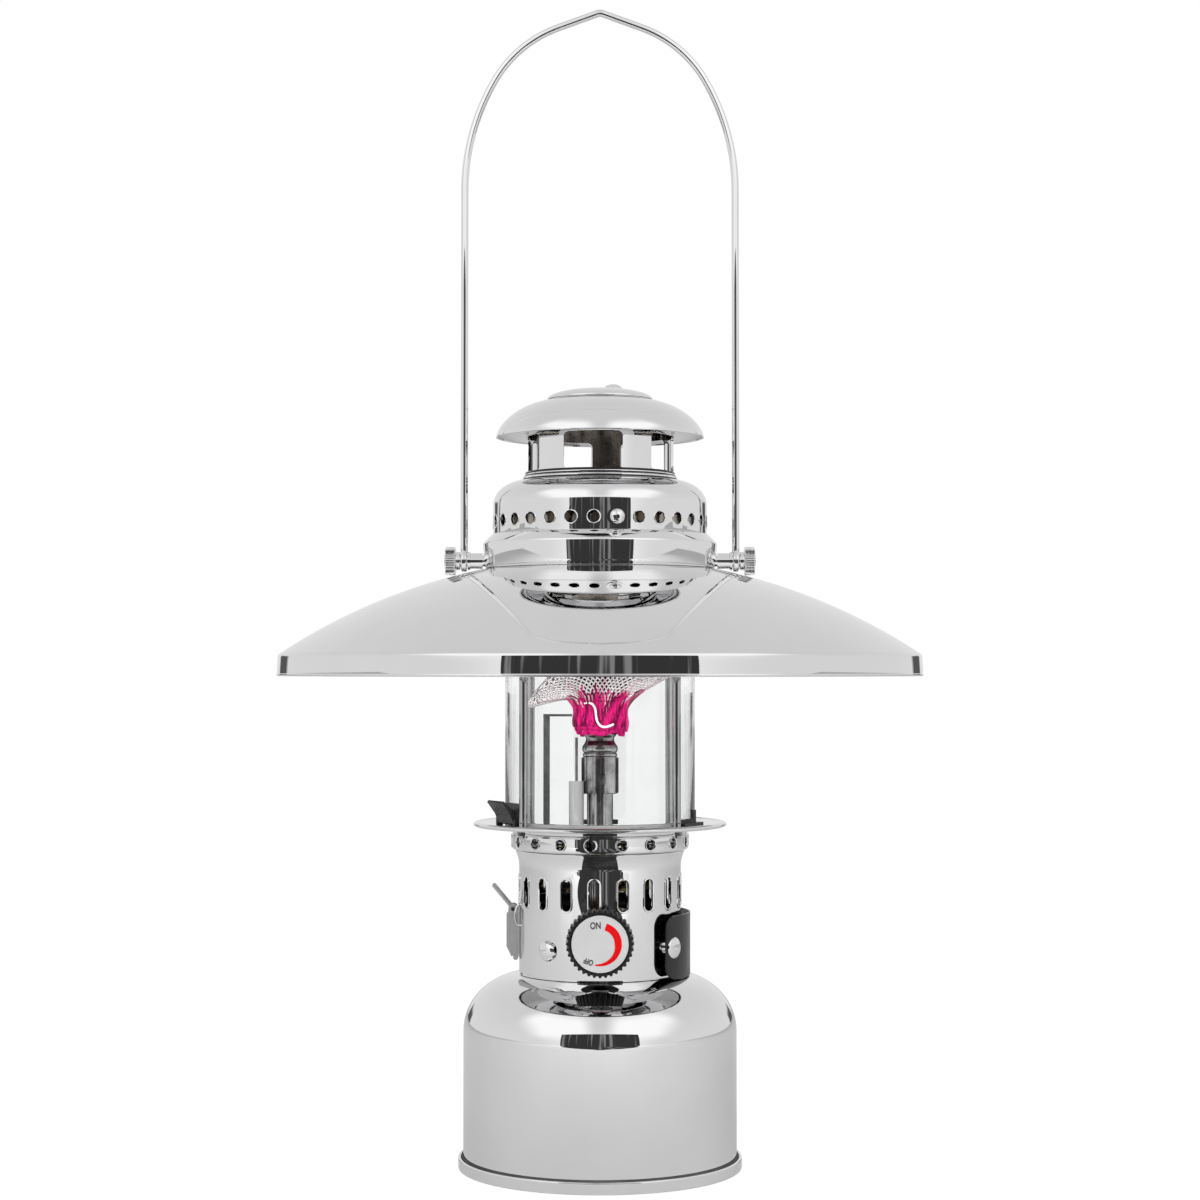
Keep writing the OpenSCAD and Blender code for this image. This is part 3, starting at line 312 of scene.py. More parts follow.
class Shader:
    """A material's nodes, with a short way to add and link them."""

    def __init__(self, name):
        self.material = bpy.data.materials.new(name)
        self.material.use_nodes = True
        self.tree = self.material.node_tree
        self.surface = self.tree.nodes["Principled BSDF"]
        coordinates = self.tree.nodes.new("ShaderNodeTexCoord")
        self.place = coordinates.outputs["Object"]

    def set(self, **values):
        for name, value in values.items():
            self.surface.inputs[name.replace("_", " ")].default_value = value
        return self

    def node(self, kind, **inputs):
        made = self.tree.nodes.new(kind)
        for name, value in inputs.items():
            socket = made.inputs[name]
            if isinstance(value, bpy.types.NodeSocket):
                self.tree.links.new(value, socket)
            else:
                socket.default_value = value
        return made

    def link(self, output, name):
        self.tree.links.new(output, self.surface.inputs[name])

    def noise(self, scale, detail=3, stretch=(1, 1, 1)):
        mapping = self.node("ShaderNodeMapping", Vector=self.place, Scale=stretch)
        made = self.node("ShaderNodeTexNoise", Vector=mapping.outputs["Vector"], Scale=scale, Detail=detail)
        return made.outputs["Fac"]

    def spread(self, value, least, most, start=0.3, end=0.7):
        made = self.node("ShaderNodeMapRange")
        self.tree.links.new(value, made.inputs["Value"])
        for name, number in zip(("From Min", "From Max", "To Min", "To Max"), (start, end, least, most)):
            made.inputs[name].default_value = number
        return made.outputs["Result"]

    def ramp(self, value, *stops):
        made = self.node("ShaderNodeValToRGB", Fac=value)
        ramp = made.color_ramp
        while len(ramp.elements) < len(stops):
            ramp.elements.new(0.5)
        for element, (place, colour) in zip(ramp.elements, stops):
            element.position = place
            element.color = (*colour, 1)
        return made.outputs["Color"]

    def bump(self, height, strength, distance):
        made = self.node("ShaderNodeBump", Height=height, Strength=strength, Distance=distance)
        self.link(made.outputs["Normal"], "Normal")

    def shown(self, share, first, second):
        """Shows the first shader where the share is 0, and the second where it is 1."""
        mix = self.node("ShaderNodeMixShader", Fac=share)
        self.tree.links.new(first, mix.inputs[1])
        self.tree.links.new(second, mix.inputs[2])
        self.tree.links.new(mix.outputs["Shader"], self.tree.nodes["Material Output"].inputs["Surface"])


def polished(name, colour, worn, rough=(0.015, 0.035), scratch=0.02):
    """Plated and polished metal, with faint cloudy wear and fine turned scratches."""
    s = Shader(name).set(Metallic=1.0)
    s.link(s.ramp(s.noise(28, 4), (0.3, worn), (0.68, colour)), "Base Color")
    s.link(s.spread(s.noise(40, 3), *rough), "Roughness")
    s.bump(s.noise(30, 1, stretch=(1, 1, 6)), scratch, 0.00002)
    return s.material


def steel(name, pale, dark, rough=(0.22, 0.42)):
    """Bare steel that the flame has tinted."""
    s = Shader(name).set(Metallic=1.0, Specular_Tint=(0.08, 0.08, 0.08, 1))
    s.link(s.ramp(s.noise(110, 6), (0.36, dark), (0.62, pale)), "Base Color")
    s.link(s.spread(s.noise(240, 4), *rough), "Roughness")
    s.bump(s.noise(700, 2, stretch=(1, 1, 0.15)), 0.2, 0.00005)
    return s.material


def moulded(name, colour, pale, rough=(0.3, 0.45), grain=900, shine=0.5):
    """Moulded or painted surface, with a fine grain and dust on it."""
    s = Shader(name).set(Specular_IOR_Level=shine)
    s.link(s.ramp(s.noise(60, 5), (0.35, colour), (0.8, pale)), "Base Color")
    s.link(s.spread(s.noise(180, 3), *rough), "Roughness")
    s.bump(s.noise(grain, 2), 0.15, 0.00004)
    return s.material


def clear_glass():
    s = Shader("clear_glass").set(Transmission_Weight=1.0, IOR=1.47, Base_Color=(0.955, 0.96, 0.96, 1))
    s.link(s.spread(s.noise(16, 3, stretch=(1, 1, 0.2)), 0.0, 0.012), "Roughness")
    s.bump(s.noise(9, 1, stretch=(1, 1, 0.15)), 0.02, 0.0004)
    return s.material


def knit(name):
    """Yarn with a fine fluff; its dye, and the painted shade of the dark sheet behind the net, are kept in the
    mesh's colours.
    """
    s = Shader(name).set(Specular_IOR_Level=0.12)
    dye_and_shade = s.node("ShaderNodeVertexColor")
    dye_and_shade.layer_name = "dye_and_shade"
    shade = s.ramp(s.noise(900, 4), (0.25, (0.72, 0.72, 0.72)), (0.7, (1, 1, 1)))
    mixed = s.node("ShaderNodeMix")
    mixed.data_type = "RGBA"
    mixed.blend_type = "MULTIPLY"
    mixed.inputs[0].default_value = 1
    s.tree.links.new(dye_and_shade.outputs["Color"], mixed.inputs[6])
    s.tree.links.new(shade, mixed.inputs[7])
    s.link(mixed.outputs[2], "Base Color")
    s.link(s.spread(s.noise(500, 2), 0.7, 0.95), "Roughness")
    s.bump(s.noise(2600, 3), 0.5, 0.0001)
    return s.material


CHROME = polished("chrome_plate", (0.84, 0.84, 0.845), (0.80, 0.80, 0.805))
SHADE_CHROME = polished("shade_plate", (0.82, 0.82, 0.825), (0.785, 0.785, 0.79), rough=(0.015, 0.03))
# Heat-stained finish; on the chimney's far inside it is painted shade as well.
STAIN_AND_SHADE = polished("heat_stain_and_shade_plate", (0.40, 0.36, 0.32), (0.29, 0.255, 0.225), rough=(0.12, 0.2))
BRASS = polished("turned_brass", (0.76, 0.58, 0.28), (0.62, 0.45, 0.2), rough=(0.16, 0.3), scratch=0.3)
BURNER = steel("burner_steel", (0.66, 0.655, 0.65), (0.24, 0.237, 0.234), rough=(0.12, 0.22))
BLACK_PLASTIC = moulded("black_plastic", (0.004, 0.004, 0.004), (0.012, 0.012, 0.012), shine=0.3)
# Black enamel; in the creases between the chimney's beads it is painted shade.
BLACK_ENAMEL_AND_SHADE = moulded("black_enamel", (0.005, 0.005, 0.005), (0.013, 0.013, 0.014), rough=(0.2, 0.32), shine=0.35)
ROD = polished("drawn_rod", (0.50, 0.50, 0.505), (0.41, 0.41, 0.415), rough=(0.03, 0.06))
SATIN = polished("satin_plate", (0.72, 0.72, 0.725), (0.60, 0.60, 0.605), rough=(0.42, 0.55), scratch=0.1)
RED_PLASTIC = moulded("red_plastic", (0.56, 0.03, 0.025), (0.66, 0.07, 0.05), rough=(0.2, 0.3))
DIAL = moulded("dial_print", (0.27, 0.27, 0.272), (0.32, 0.32, 0.322), rough=(0.4, 0.5), grain=1500, shine=0.2)
DIAL_RED = moulded("dial_red", (0.34, 0.002, 0.003), (0.4, 0.004, 0.005), rough=(0.5, 0.6), shine=0.05)
DIAL_INK = moulded("dial_ink", (0.02, 0.02, 0.02), (0.04, 0.04, 0.04))
CERAMIC = moulded("ceramic", (0.30, 0.30, 0.305), (0.36, 0.36, 0.36), rough=(0.45, 0.6))
GASKET = moulded("gasket", (0.3, 0.3, 0.29), (0.38, 0.38, 0.37), rough=(0.6, 0.8))
RUBBER = moulded("rubber", (0.03, 0.03, 0.03), (0.055, 0.055, 0.055), rough=(0.6, 0.8))
CARTRIDGE = moulded("cartridge_paint", (0.05, 0.14, 0.45), (0.08, 0.19, 0.52), rough=(0.2, 0.32))
GLASS = clear_glass()
KNIT = knit("mantle_knit")


# Base

FLOOR_GAP = 0.12
BASE_R = radius("base_shell")
BASE_TOP = top("base_shell")
SHOULDER_W = 24.5
SHOULDER_H = 22.6


def base():
    line = [(BASE_R, foot("base_shell"))]
    line += arc(BASE_R - SHOULDER_W, BASE_TOP - SHOULDER_H, SHOULDER_W, SHOULDER_H, 0, 90, 48)
    line += [(radius("valve_body") * 0.7, BASE_TOP)]
    make("base_body", lathe(sheet_metal(line, 1)), CHROME, replaces=["base_shell"])


def bottom():
    rim_r, rim_top, plate = radius("bottom_cover"), top("bottom_cover"), foot("base_shell")
    inside = BASE_R + FLOOR_GAP
    outline = [(0, 0), (rim_r, 0), (rim_r, rim_top), (inside + 0.7, rim_top), (inside, rim_top - 1.4),
               (inside, plate), (0, plate)]
    make("base_rim", lathe(fillet(outline, 0.75, 5)), CHROME, replaces=["bottom_cover"])
    seam = [(inside - 0.1, rim_top - 1.2), (inside + 0.55, rim_top - 0.6), (inside + 0.55, rim_top + 0.4),
            (inside - 0.1, rim_top + 0.45)]
    make("base_seam", lathe(seam), RUBBER)


# Neck

NECK_R = 32.6
NECK_TOP = top("neck_shell")
NECK_WALL = 1
SLOTS = 18
SLOT_W, SLOT_H = 4.2, 12.6
SLOT_Z = NECK_TOP - 16.4
SLOT_TURN = -4
SPINDLE_Z = (foot("knob_dial") + top("knob_dial")) / 2
BUTTON_Z = (foot("igniter_button") + top("igniter_button")) / 2


def holes_round(outline, count, turn, z, wall_r):
    """Cutters for a row of holes round a wall."""
    depth = 0.4 * wall_r
    cutters = []
    for i in range(count):
        place = outwards(turn + 360 * i / count, z)
        cutters.append(placed(prism(outline, depth), lambda v: place((v[0], v[1], v[2] + 0.8 * wall_r))))
    return cutters


def rims_round(name, outline, count, turn, z, wall_r, wire):
    """Rolled edges for a row of holes round a wall."""
    rims = [tube(wrapped(outline, wall_r, turn + 360 * i / count, z), wire, sides=8, closed=True)
            for i in range(count)]
    make(name, join(*rims), CHROME)


def neck():
    flare, flare_h, spindle_hole_r, button_hole_r = 1.6, 7, 5.3, 3.9
    line = [(NECK_R, foot("neck_shell"))]
    line += [(NECK_R + flare * (k / 10) ** 2, NECK_TOP - flare_h + (flare_h - 0.4) * k / 10) for k in range(11)]
    holes = holes_round(obround(SLOT_W, SLOT_H), SLOTS, SLOT_TURN, SLOT_Z, NECK_R)
    holes += holes_round(circle(spindle_hole_r, 32), 1, 0, SPINDLE_Z, NECK_R)
    holes += holes_round(circle(button_hole_r, 32), 1, 180, BUTTON_Z, NECK_R)
    make("neck", lathe(sheet_metal(line, NECK_WALL)), CHROME, replaces=["neck_shell"], holes=holes)
    rims_round("neck_slot_rims", obround(SLOT_W + 0.5, SLOT_H + 0.5), SLOTS, SLOT_TURN, SLOT_Z,
               NECK_R - 0.05, 0.42)


def collar():
    r, z0, z1 = radius("neck_collar"), foot("neck_collar"), top("neck_collar")
    lip, edge, hole_r, turn = 4, 1.2, 2.2, -6
    middle = (z0 + z1) / 2
    line = [(r - lip, z0)] + arc(r - edge, z0 + edge, edge, edge, -90, 0, 6)
    line += arc(r - edge, z1 - edge, edge, edge, 0, 90, 6) + [(r - lip, z1)]
    make("collar", lathe(sheet_metal(line, NECK_WALL)), CHROME, replaces=["neck_collar"],
         holes=holes_round(circle(hole_r), SLOTS, turn, middle, r))
    rims_round("collar_hole_rims", circle(hole_r + 0.2), SLOTS, turn, middle, r - 0.05, 0.38)


def label():
    """Curved plate with round corners, drawn column by column."""
    middle, sweep, corner, thick, gap = 86, 80, 5.5, 0.8, 3
    r_in = NECK_R + gap
    z0, z1 = foot("label_plate"), top("label_plate")
    half = math.radians(sweep / 2) * r_in
    columns = 64
    verts, faces = [], []
    for k in range(columns + 1):
        x = half * math.sin(math.pi * (k / columns - 0.5))
        over = max(abs(x) - (half - corner), 0)
        trim = corner - math.sqrt(max(corner ** 2 - over ** 2, 0))
        a = math.radians(middle) + x / r_in
        for r, z in ((r_in, z0 + trim), (r_in + thick, z0 + trim), (r_in + thick, z1 - trim), (r_in, z1 - trim)):
            verts.append((r * math.sin(a), -r * math.cos(a), z))
        if k:
            b = 4 * k
            faces += [[b - 4 + i, b - 4 + (i + 1) % 4, b + (i + 1) % 4, b + i] for i in range(4)]
    faces += [[0, 1, 2, 3], [4 * columns + i for i in (3, 2, 1, 0)]]
    plate = make("label", (verts, faces), BLACK_ENAMEL_AND_SHADE, replaces=["label_plate"])
    softened(plate, 0.25)


def softened(piece, width, segments=2):
    """Rounds a piece's edges."""
    edge = piece.modifiers.new("edges", "BEVEL")
    edge.width = width * MM
    edge.segments = segments
    edge.limit_method = "ANGLE"
    edge.angle_limit = math.radians(40)
    edge.harden_normals = True


# Knob

def knob():
    outer, ridges, depth = radius("control_knob") - 0.02, 36, 0.9
    back, front = -high("control_knob")[1], -low("control_knob")[1]
    dial_r = radius("knob_dial")
    seat = -high("knob_dial")[1]
    outline = fillet([(3.2, back), (outer, back), (outer, front), (dial_r + 0.9, front), (dial_r + 0.1, front - 0.6),
                      (dial_r + 0.1, seat), (3.2, seat)], 0.7, 5)

    def teeth(a, r, z):
        share = max(0, min(1, (r - outer + 1.6) / 1.2))
        wave = math.cos(ridges * a)
        return -depth * share * (0.5 - 0.5 * math.tanh(1.5 * wave))
    grip = lathe(outline, segments=ridges * 12, ripple=teeth)
    make("knob_grip", placed(grip, outwards(0, SPINDLE_Z)), BLACK_PLASTIC, "knob",
         replaces=["control_knob"])
    face = -low("knob_dial")[1]
    disc = lathe(fillet([(0, seat), (dial_r, seat), (dial_r, face + 0.15), (dial_r - 0.5, face + 0.15),
                         (dial_r - 0.7, face), (0, face)], 0.12, 3))
    make("dial_face", placed(disc, outwards(0, SPINDLE_Z)), DIAL, "knob", replaces=["knob_dial"])
    dial_mark(face)
    words(face, "ON", -1.7, 7.0, 2, 2.7)
    words(face, "OFF", -4.4, -6.6, 160, 2.2)


def dial_mark(face):
    start, sweep, r, wide, thin, steps = 72, 176, 8.4, 2.8, 0.35, 48
    outer = arc(0, 0, r, r, start, start - sweep, steps)
    inner = []
    for i in range(steps + 1):
        a = math.radians(start - sweep * i / steps)
        w = thin + (wide - thin) * min(1, 1.7 * (1 - i / steps)) ** 0.8
        inner.append(((r - w) * math.cos(a), (r - w) * math.sin(a)))
    mark = placed(prism(outer + inner[::-1], 0.12), lambda v: (v[0], v[1], v[2] + face))
    make("flow_mark", placed(mark, outwards(0, SPINDLE_Z)), DIAL_RED, "knob", replaces=["dial_mark"])


def words(face, text, x, y, turn, height):
    curve = bpy.data.curves.new("dial_" + text.lower(), "FONT")
    curve.body = text
    curve.size = 1.35 * height * MM
    curve.align_x = curve.align_y = "CENTER"
    curve.extrude = 0.05 * MM
    curve.offset = 0.13 * MM
    piece = bpy.data.objects.new(curve.name, curve)
    piece.location = (x * MM, -(face + 0.06) * MM, (SPINDLE_Z + y) * MM)
    piece.rotation_euler = (math.pi / 2, math.radians(-turn), 0)
    piece.scale.x = 0.72
    bpy.context.scene.collection.objects.link(piece)
    curve.materials.append(DIAL_INK)
    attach(piece, "knob")


# Latch

def latch_loop():
    """Small wire ring that hangs on the latch's pin."""
    cx, cy, cz, rx, rz, wire = -32.3, -6.0, 101.4, 1.8, 4.2, 0.35
    path = [(x, cy, z) for x, z in arc(cx, cz, rx, rz, 0, 360, 40)[:-1]]
    make("latch_ring", tube(path, wire, sides=8, closed=True), CHROME)


# Gallery and glass

def gallery():
    z0, z1 = top("gallery_plate"), foot("gallery_plate")
    plate, under = foot("glass_gasket"), foot("glass_gasket") - 1.2
    r, bead = radius("gallery_plate"), 1.3
    inner, step_r = 5.3, radius("neck_collar")
    edge = r - bead
    outline = [(inner, under), (step_r - 4, under), (step_r - 4, z1), (step_r, z1), (step_r + 0.9, under)]
    outline += arc(edge, (plate + under) / 2, bead, (z0 - under) / 2 + 0.05, -140, 140, 16)
    outline += [(edge - 2.4, plate), (inner, plate)]
    make("gallery", lathe(fillet(outline, 0.3, 3)), CHROME, replaces=["gallery_plate"])


def chimney_glass():
    r, wall = radius("glass_cylinder"), 1.6
    outline = sheet_metal([(r, foot("glass_cylinder")), (r, top("glass_cylinder"))], wall)
    piece = make("glass", lathe(outline), GLASS, replaces=["glass_cylinder"])
    piece.visible_shadow = False
    piece.visible_diffuse = False


def rods():
    ring_r, r = 42.5, 1.7
    z0, z1 = foot("support_rods"), top("support_rods")
    rod = lathe(fillet([(0, z0), (r, z0), (r, z1), (0, z1)], 0.3, 3), segments=48)
    turned = []
    for a in (45, 135, 225, 315):
        x, y = ring_r * math.cos(math.radians(a)), ring_r * math.sin(math.radians(a))
        turned.append(placed(rod, lambda v: (v[0] + x, v[1] + y, v[2])))
    make("rods", join(*turned), ROD, replaces=["support_rods"])


# Burner

def burner():
    z0, z1 = foot("burner_sleeve"), top("burner_sleeve")
    r, bore = radius("burner_sleeve"), 5.3
    sleeve = fillet([(bore, z0), (r, z0), (r, z1), (bore, z1)], 0.4, 3)
    port = placed(prism(obround(2.2, 5), 8), lambda v: outwards(0, z0 + 5.2)((v[0] + 1.2, v[1], v[2] + 3)))
    make("burner_tube", lathe(sleeve), BURNER, replaces=["burner_sleeve"], holes=[port])
    bars = [placed(prism(rounded_rectangle(1.5, z1 - z0 - 0.6, 0.5), 0.7),
                   lambda v, t=turn: outwards(t, (z0 + z1) / 2)((v[0], v[1], v[2] + r - 0.1))) for turn in (-78, 78)]
    make("burner_bars", join(*bars), BURNER)
    h0, h1 = foot("burner_head"), top("burner_head")
    rise = (h1 - h0) / 11
    outline = [(4.1, h0), (r, h0), (r + 0.1, h0 + rise)]
    outline += arc(r - 1.2, h0 + 3 * rise, 1.5, 1.9 * rise, -60, 60, 8)
    outline += [(5.7, h0 + 6 * rise), (5.7, h0 + 7 * rise), (6.5, h0 + 8 * rise), (6.5, h1), (4.1, h1)]
    make("burner_cup", lathe(fillet(outline, 0.5, 4)), BURNER, replaces=["burner_head"])


# Shade, hood, chimney and cap

SHADE_R = radius("shade")
DOME_R = 232
SEAT_R = 45
HOOD_Z = top("shade")


def shade():
    corner, lean, rim_z = 2, 0.5, foot("shade")
    dome_z = HOOD_Z - math.sqrt(DOME_R ** 2 - SEAT_R ** 2)
    bend_r = SHADE_R - lean - corner
    start = math.degrees(math.acos((bend_r + 1.1) / DOME_R))
    end = math.degrees(math.acos(SEAT_R / DOME_R))
    rise = math.radians(start)
    bend_r = DOME_R * math.cos(rise) - corner * math.cos(rise)
    bend_z = dome_z + DOME_R * math.sin(rise) - corner * math.sin(rise)
    line = [(SHADE_R - 0.1, rim_z + 0.3)] + arc(bend_r, bend_z, corner, corner, 3, start, 8)
    line += arc(0, dome_z, DOME_R, DOME_R, start, end, 64)[1:]
    line += [(radius("glass_cylinder") - 2.1, HOOD_Z)]
    make("shade_dome", lathe(sheet_metal(line, 1), segments=320), SHADE_CHROME, replaces=["shade"])
    bead = 0.7
    hem = arc(SHADE_R - bead, rim_z + bead, bead, bead, 0, 360, 16)[:-1]
    make("shade_hem", lathe(hem, segments=320), SHADE_CHROME)


HOOD_R = radius("hood_lower")
VENT_R = radius("hood_upper")
VENT_Z = foot("hood_upper")
CHIMNEY_Z = foot("chimney_ring")


def hood():
    flange = radius("glass_cylinder") - 1.5
    slope, edge = 3.6, 1.3
    line = [(flange, HOOD_Z), (SEAT_R, HOOD_Z), (HOOD_R - 1, HOOD_Z - 0.22), (HOOD_R - 0.6, HOOD_Z + 2)]
    line += arc(HOOD_R - edge, VENT_Z - slope - 0.6, edge, edge, 0, 52, 8)
    line += [(VENT_R + 0.4, VENT_Z), (flange, VENT_Z)]
    make("hood_ring", lathe(sheet_metal(line, 1)), CHROME, replaces=["hood_lower"])
    wide, tall, count, turn, hole_r, up = 12.5, 10, 30, 8.8, 2.5, 5
    line = [(VENT_R, VENT_Z)]
    line += arc(VENT_R - wide, CHIMNEY_Z - tall, wide, tall, 0, 90, 28)
    line += [(radius("chimney_ring") - 4.1, CHIMNEY_Z)]
    make("hood_dome", lathe(sheet_metal(line, 1)), CHROME, replaces=["hood_upper"],
         holes=holes_round(circle(hole_r), count, turn, VENT_Z + up, VENT_R))
    rims_round("hood_vent_rims", circle(hole_r + 0.1), count, turn, VENT_Z + up, VENT_R - 0.1, 0.28)


def chimney():
    r, wall = 29.8, 1
    z0, z1 = CHIMNEY_Z, top("chimney_ring")
    windows, turn, w, h, sill = 5, -5.6, 23.5, 15, 3
    line = [(r, z0)] + arc(r - 1.2, z1 - 1.2, 1.2, 1.2, 0, 90, 6) + [(0, z1)]
    ring = make("chimney", lathe(sheet_metal(line, wall)), CHROME, replaces=["chimney_ring"],
                holes=holes_round(rounded_rectangle(w, h, 2), windows, turn, z0 + sill + h / 2, r))
    # Painted shade: only the inner face of the far wall, which shows through the windows, takes the darker stained
    # finish.
    ring.data.materials.append(STAIN_AND_SHADE)
    for face in ring.data.polygons:
        out = Vector((face.center.x, face.center.y, 0))
        far = face.center.y > 0.6 * r * MM
        face.material_index = int(far and face.normal.dot(out.normalized()) < -0.5)
    beads = []
    for reach, z, size in ((radius("chimney_ring") - 0.8, z0 + 0.8, 0.8), (r - 0.05, z0 + 2.2, 0.65)):
        beads.append(lathe(arc(reach, z, size, size, 0, 360, 20)[:-1]))
    make("chimney_beads", join(*beads), CHROME)
    # Painted shade: thin black rings laid in the creases between the beads, where shade falls.
    groove_r = 0.6
    places = ((radius("chimney_ring") - 0.35, z0 + 0.12), (r + 0.55, z0 + 1.5), (r + 0.02, z0 + 2.85))
    groove_shade = [lathe(arc(reach, z, groove_r, groove_r, 0, 360, 12)[:-1]) for reach, z in places]
    make("chimney_groove_shade", join(*groove_shade), BLACK_ENAMEL_AND_SHADE)


def cap():
    z1, r, crown = foot("cap_disc"), radius("cap"), 16
    z0 = foot("cap")
    line = [(crown + (r - crown) * math.cos(t), z0 + (z1 - z0) * math.sin(t) ** 1.24)
            for t in [math.pi / 2 * k / 40 for k in range(41)]] + [(0, z1)]
    make("cap_dome", lathe(sheet_metal(line, 1)), CHROME, replaces=["cap"])
    disc_r, rise = radius("cap_disc"), top("cap_disc") - z1
    line = arc(0, z1 + 0.05, disc_r, rise - 0.05, 0, 90, 30)
    line[-1] = (0, z1 + rise)
    make("cap_plate", lathe(sheet_metal(line, 0.9)), CHROME, replaces=["cap_disc"])
    x = (low("cap_rivet")[0] + high("cap_rivet")[0]) / 2
    head = top("cap_disc")
    size, up = radius("cap_rivet"), top("cap_rivet") - head
    rivet = lathe(fillet([(0, head - 1), (size, head - 1), (size, head - 0.2)]
                         + arc(0, head - 0.2, size * 0.96, up, 20, 90, 10), 0.15, 3), segments=64)
    make("cap_stud", placed(rivet, lambda v: (v[0] + x, v[1], v[2])), CHROME, replaces=["cap_rivet"])


# Bail

PIVOT_Z = (foot("bail_washers") + top("bail_washers")) / 2
WIRE_R = 1.5
BAIL_X = high("bail")[0] - WIRE_R - 0.05


def bail_path():
    """Middle line of the bail's right half, from the eye up to the peak."""
    side_r, side, slope, half = 90, 30, 20, 17
    peak_z = top("bail") - WIRE_R
    side_x = BAIL_X - side_r * (1 - math.cos(math.radians(side)))
    top_r = (side_x - half) / (math.cos(math.radians(side)) - math.sin(math.radians(slope)))
    rise = half * math.tan(math.radians(slope))
    bend_h = top_r * (math.cos(math.radians(slope)) - math.sin(math.radians(side)))
    start = peak_z - rise - bend_h - side_r * math.sin(math.radians(side))
    cx = BAIL_X - side_r
    tx = cx + (side_r - top_r) * math.cos(math.radians(side))
    tz = start + (side_r - top_r) * math.sin(math.radians(side))
    leg = [(BAIL_X, PIVOT_Z + 3.4 + (start - PIVOT_Z - 3.4) * i / 12) for i in range(12)]
    line = leg + arc(cx, start, side_r, side_r, 0, side, 14)[:-1]
    line += arc(tx, tz, top_r, top_r, side, 90 - slope, 16)
    line += [(half * (1 - s), peak_z - rise * (1 - s)) for s in (0.25, 0.5, 0.7, 0.85)]
    return line, peak_z


def bail():
    right, peak = bail_path()
    line = eased(right + [(0, peak)] + [(-x, z) for x, z in right[::-1]])
    wire = tube([(x, 0, z) for x, z in line], WIRE_R, sides=20, up=(0, 1, 0))
    bore, eye_r, half = 2.36, 4.4, 1.2
    eye = lathe(fillet([(bore, -half), (eye_r, -half), (eye_r, half), (bore, half)], 0.6, 4), segments=64)
    eyes = [placed(eye, lambda v, s=s: (s * BAIL_X + v[2], v[1], PIVOT_Z + v[0])) for s in (-1, 1)]
    make("bail_wire", join(wire, *eyes), CHROME, "bail", replaces=["bail"])


def thumb_nuts():
    ridges, depth, r = 36, 0.5, (top("thumb_nut_right") - foot("thumb_nut_right")) / 2
    inner = low("thumb_nut_right")[0]
    length = high("thumb_nut_right")[0] - inner
    bore, neck_r = 2.36, 3.7
    outline = fillet([(bore, 0), (neck_r, 0), (neck_r, 1.8), (r, 2.1), (r, length), (r - 1.6, length),
                      (r - 2, length - 0.5), (bore, length - 0.5)], 0.5, 4)

    def teeth(a, reach, z):
        share = max(0, min(1, (reach - r + 1) / 0.6))
        return -depth * share * (0.5 + 0.5 * math.cos(ridges * a))
    nut = lathe(outline, segments=ridges * 8, ripple=teeth)
    for side, name in ((-1, "left"), (1, "right")):
        turned = placed(nut, lambda v: (side * (inner + v[2]), v[1], PIVOT_Z + v[0]))
        make("nut_" + name, turned, CHROME, name + "_nut", replaces=["thumb_nut_" + name])


# Mantle

HOT_PINK = (0.66, 0.014, 0.18)
PALE_PINK = (0.82, 0.50, 0.58)
OFF_WHITE = (0.97, 0.96, 0.955)
# Painted shade, for the dark sheet behind the mantle net's front.
SHADOW = (0.02, 0.012, 0.014)
MANTLE_FOOT = foot("mantle")
COLLAR_H = 13.5
COLLAR_R = 9.7
FLARE = 3.4


def mantle_point(a, v):
    """Place on the mantle at an angle, from 0 at the gathered foot to 1 at the closed crown."""
    gathered = COLLAR_H / 46
    folds = 13
    wild = 0.5 * math.sin(3 * a + 1.0) + 0.5 * math.sin(5 * a + 2.2)
    if v < gathered:
        s = v / gathered
        swell = 1.1 * math.sin(math.pi * min(1, s * 1.25)) + FLARE * max(0, (s - 0.5) / 0.5) ** 1.6
        r = COLLAR_R - 1.0 + swell + (0.75 + 0.2 * wild) * math.cos(folds * a + 0.6 * math.sin(2 * a))
        return r, MANTLE_FOOT + 0.2 + COLLAR_H * s - 0.7 * wild * (1 - s)
    s = (v - gathered) / (1 - gathered)
    fold = (0.75 + 0.9 * s) * math.cos(folds * a + 0.6 * math.sin(2 * a)) * (1 - s) ** 0.5
    if s < 0.72:
        t = s / 0.72
        r = COLLAR_R - 1 + FLARE + (20 - FLARE) * t ** 0.85
        z = MANTLE_FOOT + COLLAR_H + 15.5 * t ** 0.8
        hang = t ** 0.9
    else:
        t = (s - 0.72) / 0.28
        r = (COLLAR_R + 19.0) * math.cos(t * math.pi / 2 * 0.98)
        z = MANTLE_FOOT + COLLAR_H + 15.5 + 7.5 * math.sin(t * math.pi / 2)
        hang = math.cos(t * math.pi / 2)
    droop = (18.5 * max(0, math.cos(a - math.pi)) ** 2 + 6 * max(0, math.cos(a)) ** 2) * hang
    return r + fold + 0.6 * wild * s * (1 - s), z - droop


def in_space(a, v, out=0.0):
    r, z = mantle_point(a, v)
    return (r + out) * math.cos(a), (r + out) * math.sin(a), z


def yarn_colour(a, v):
    """Dye at a place: deep pink at the gathered foot, then pale with pink ribs."""
    edge = COLLAR_H / 46 + 0.05 * math.sin(7 * a + 1.3) + 0.04 * math.sin(11 * a)
    s = max(0, min(1, (v - edge + 0.03) / 0.09))
    rib = max(0, math.cos(9 * a + 0.8)) ** 4 * max(0, 1 - (v - edge) * 2.2)
    pale = [OFF_WHITE[k] + (PALE_PINK[k] - OFF_WHITE[k]) * min(1, rib * 0.9 + 0.15) for k in range(3)]
    return [HOT_PINK[k] + (pale[k] - HOT_PINK[k]) * s for k in range(3)]


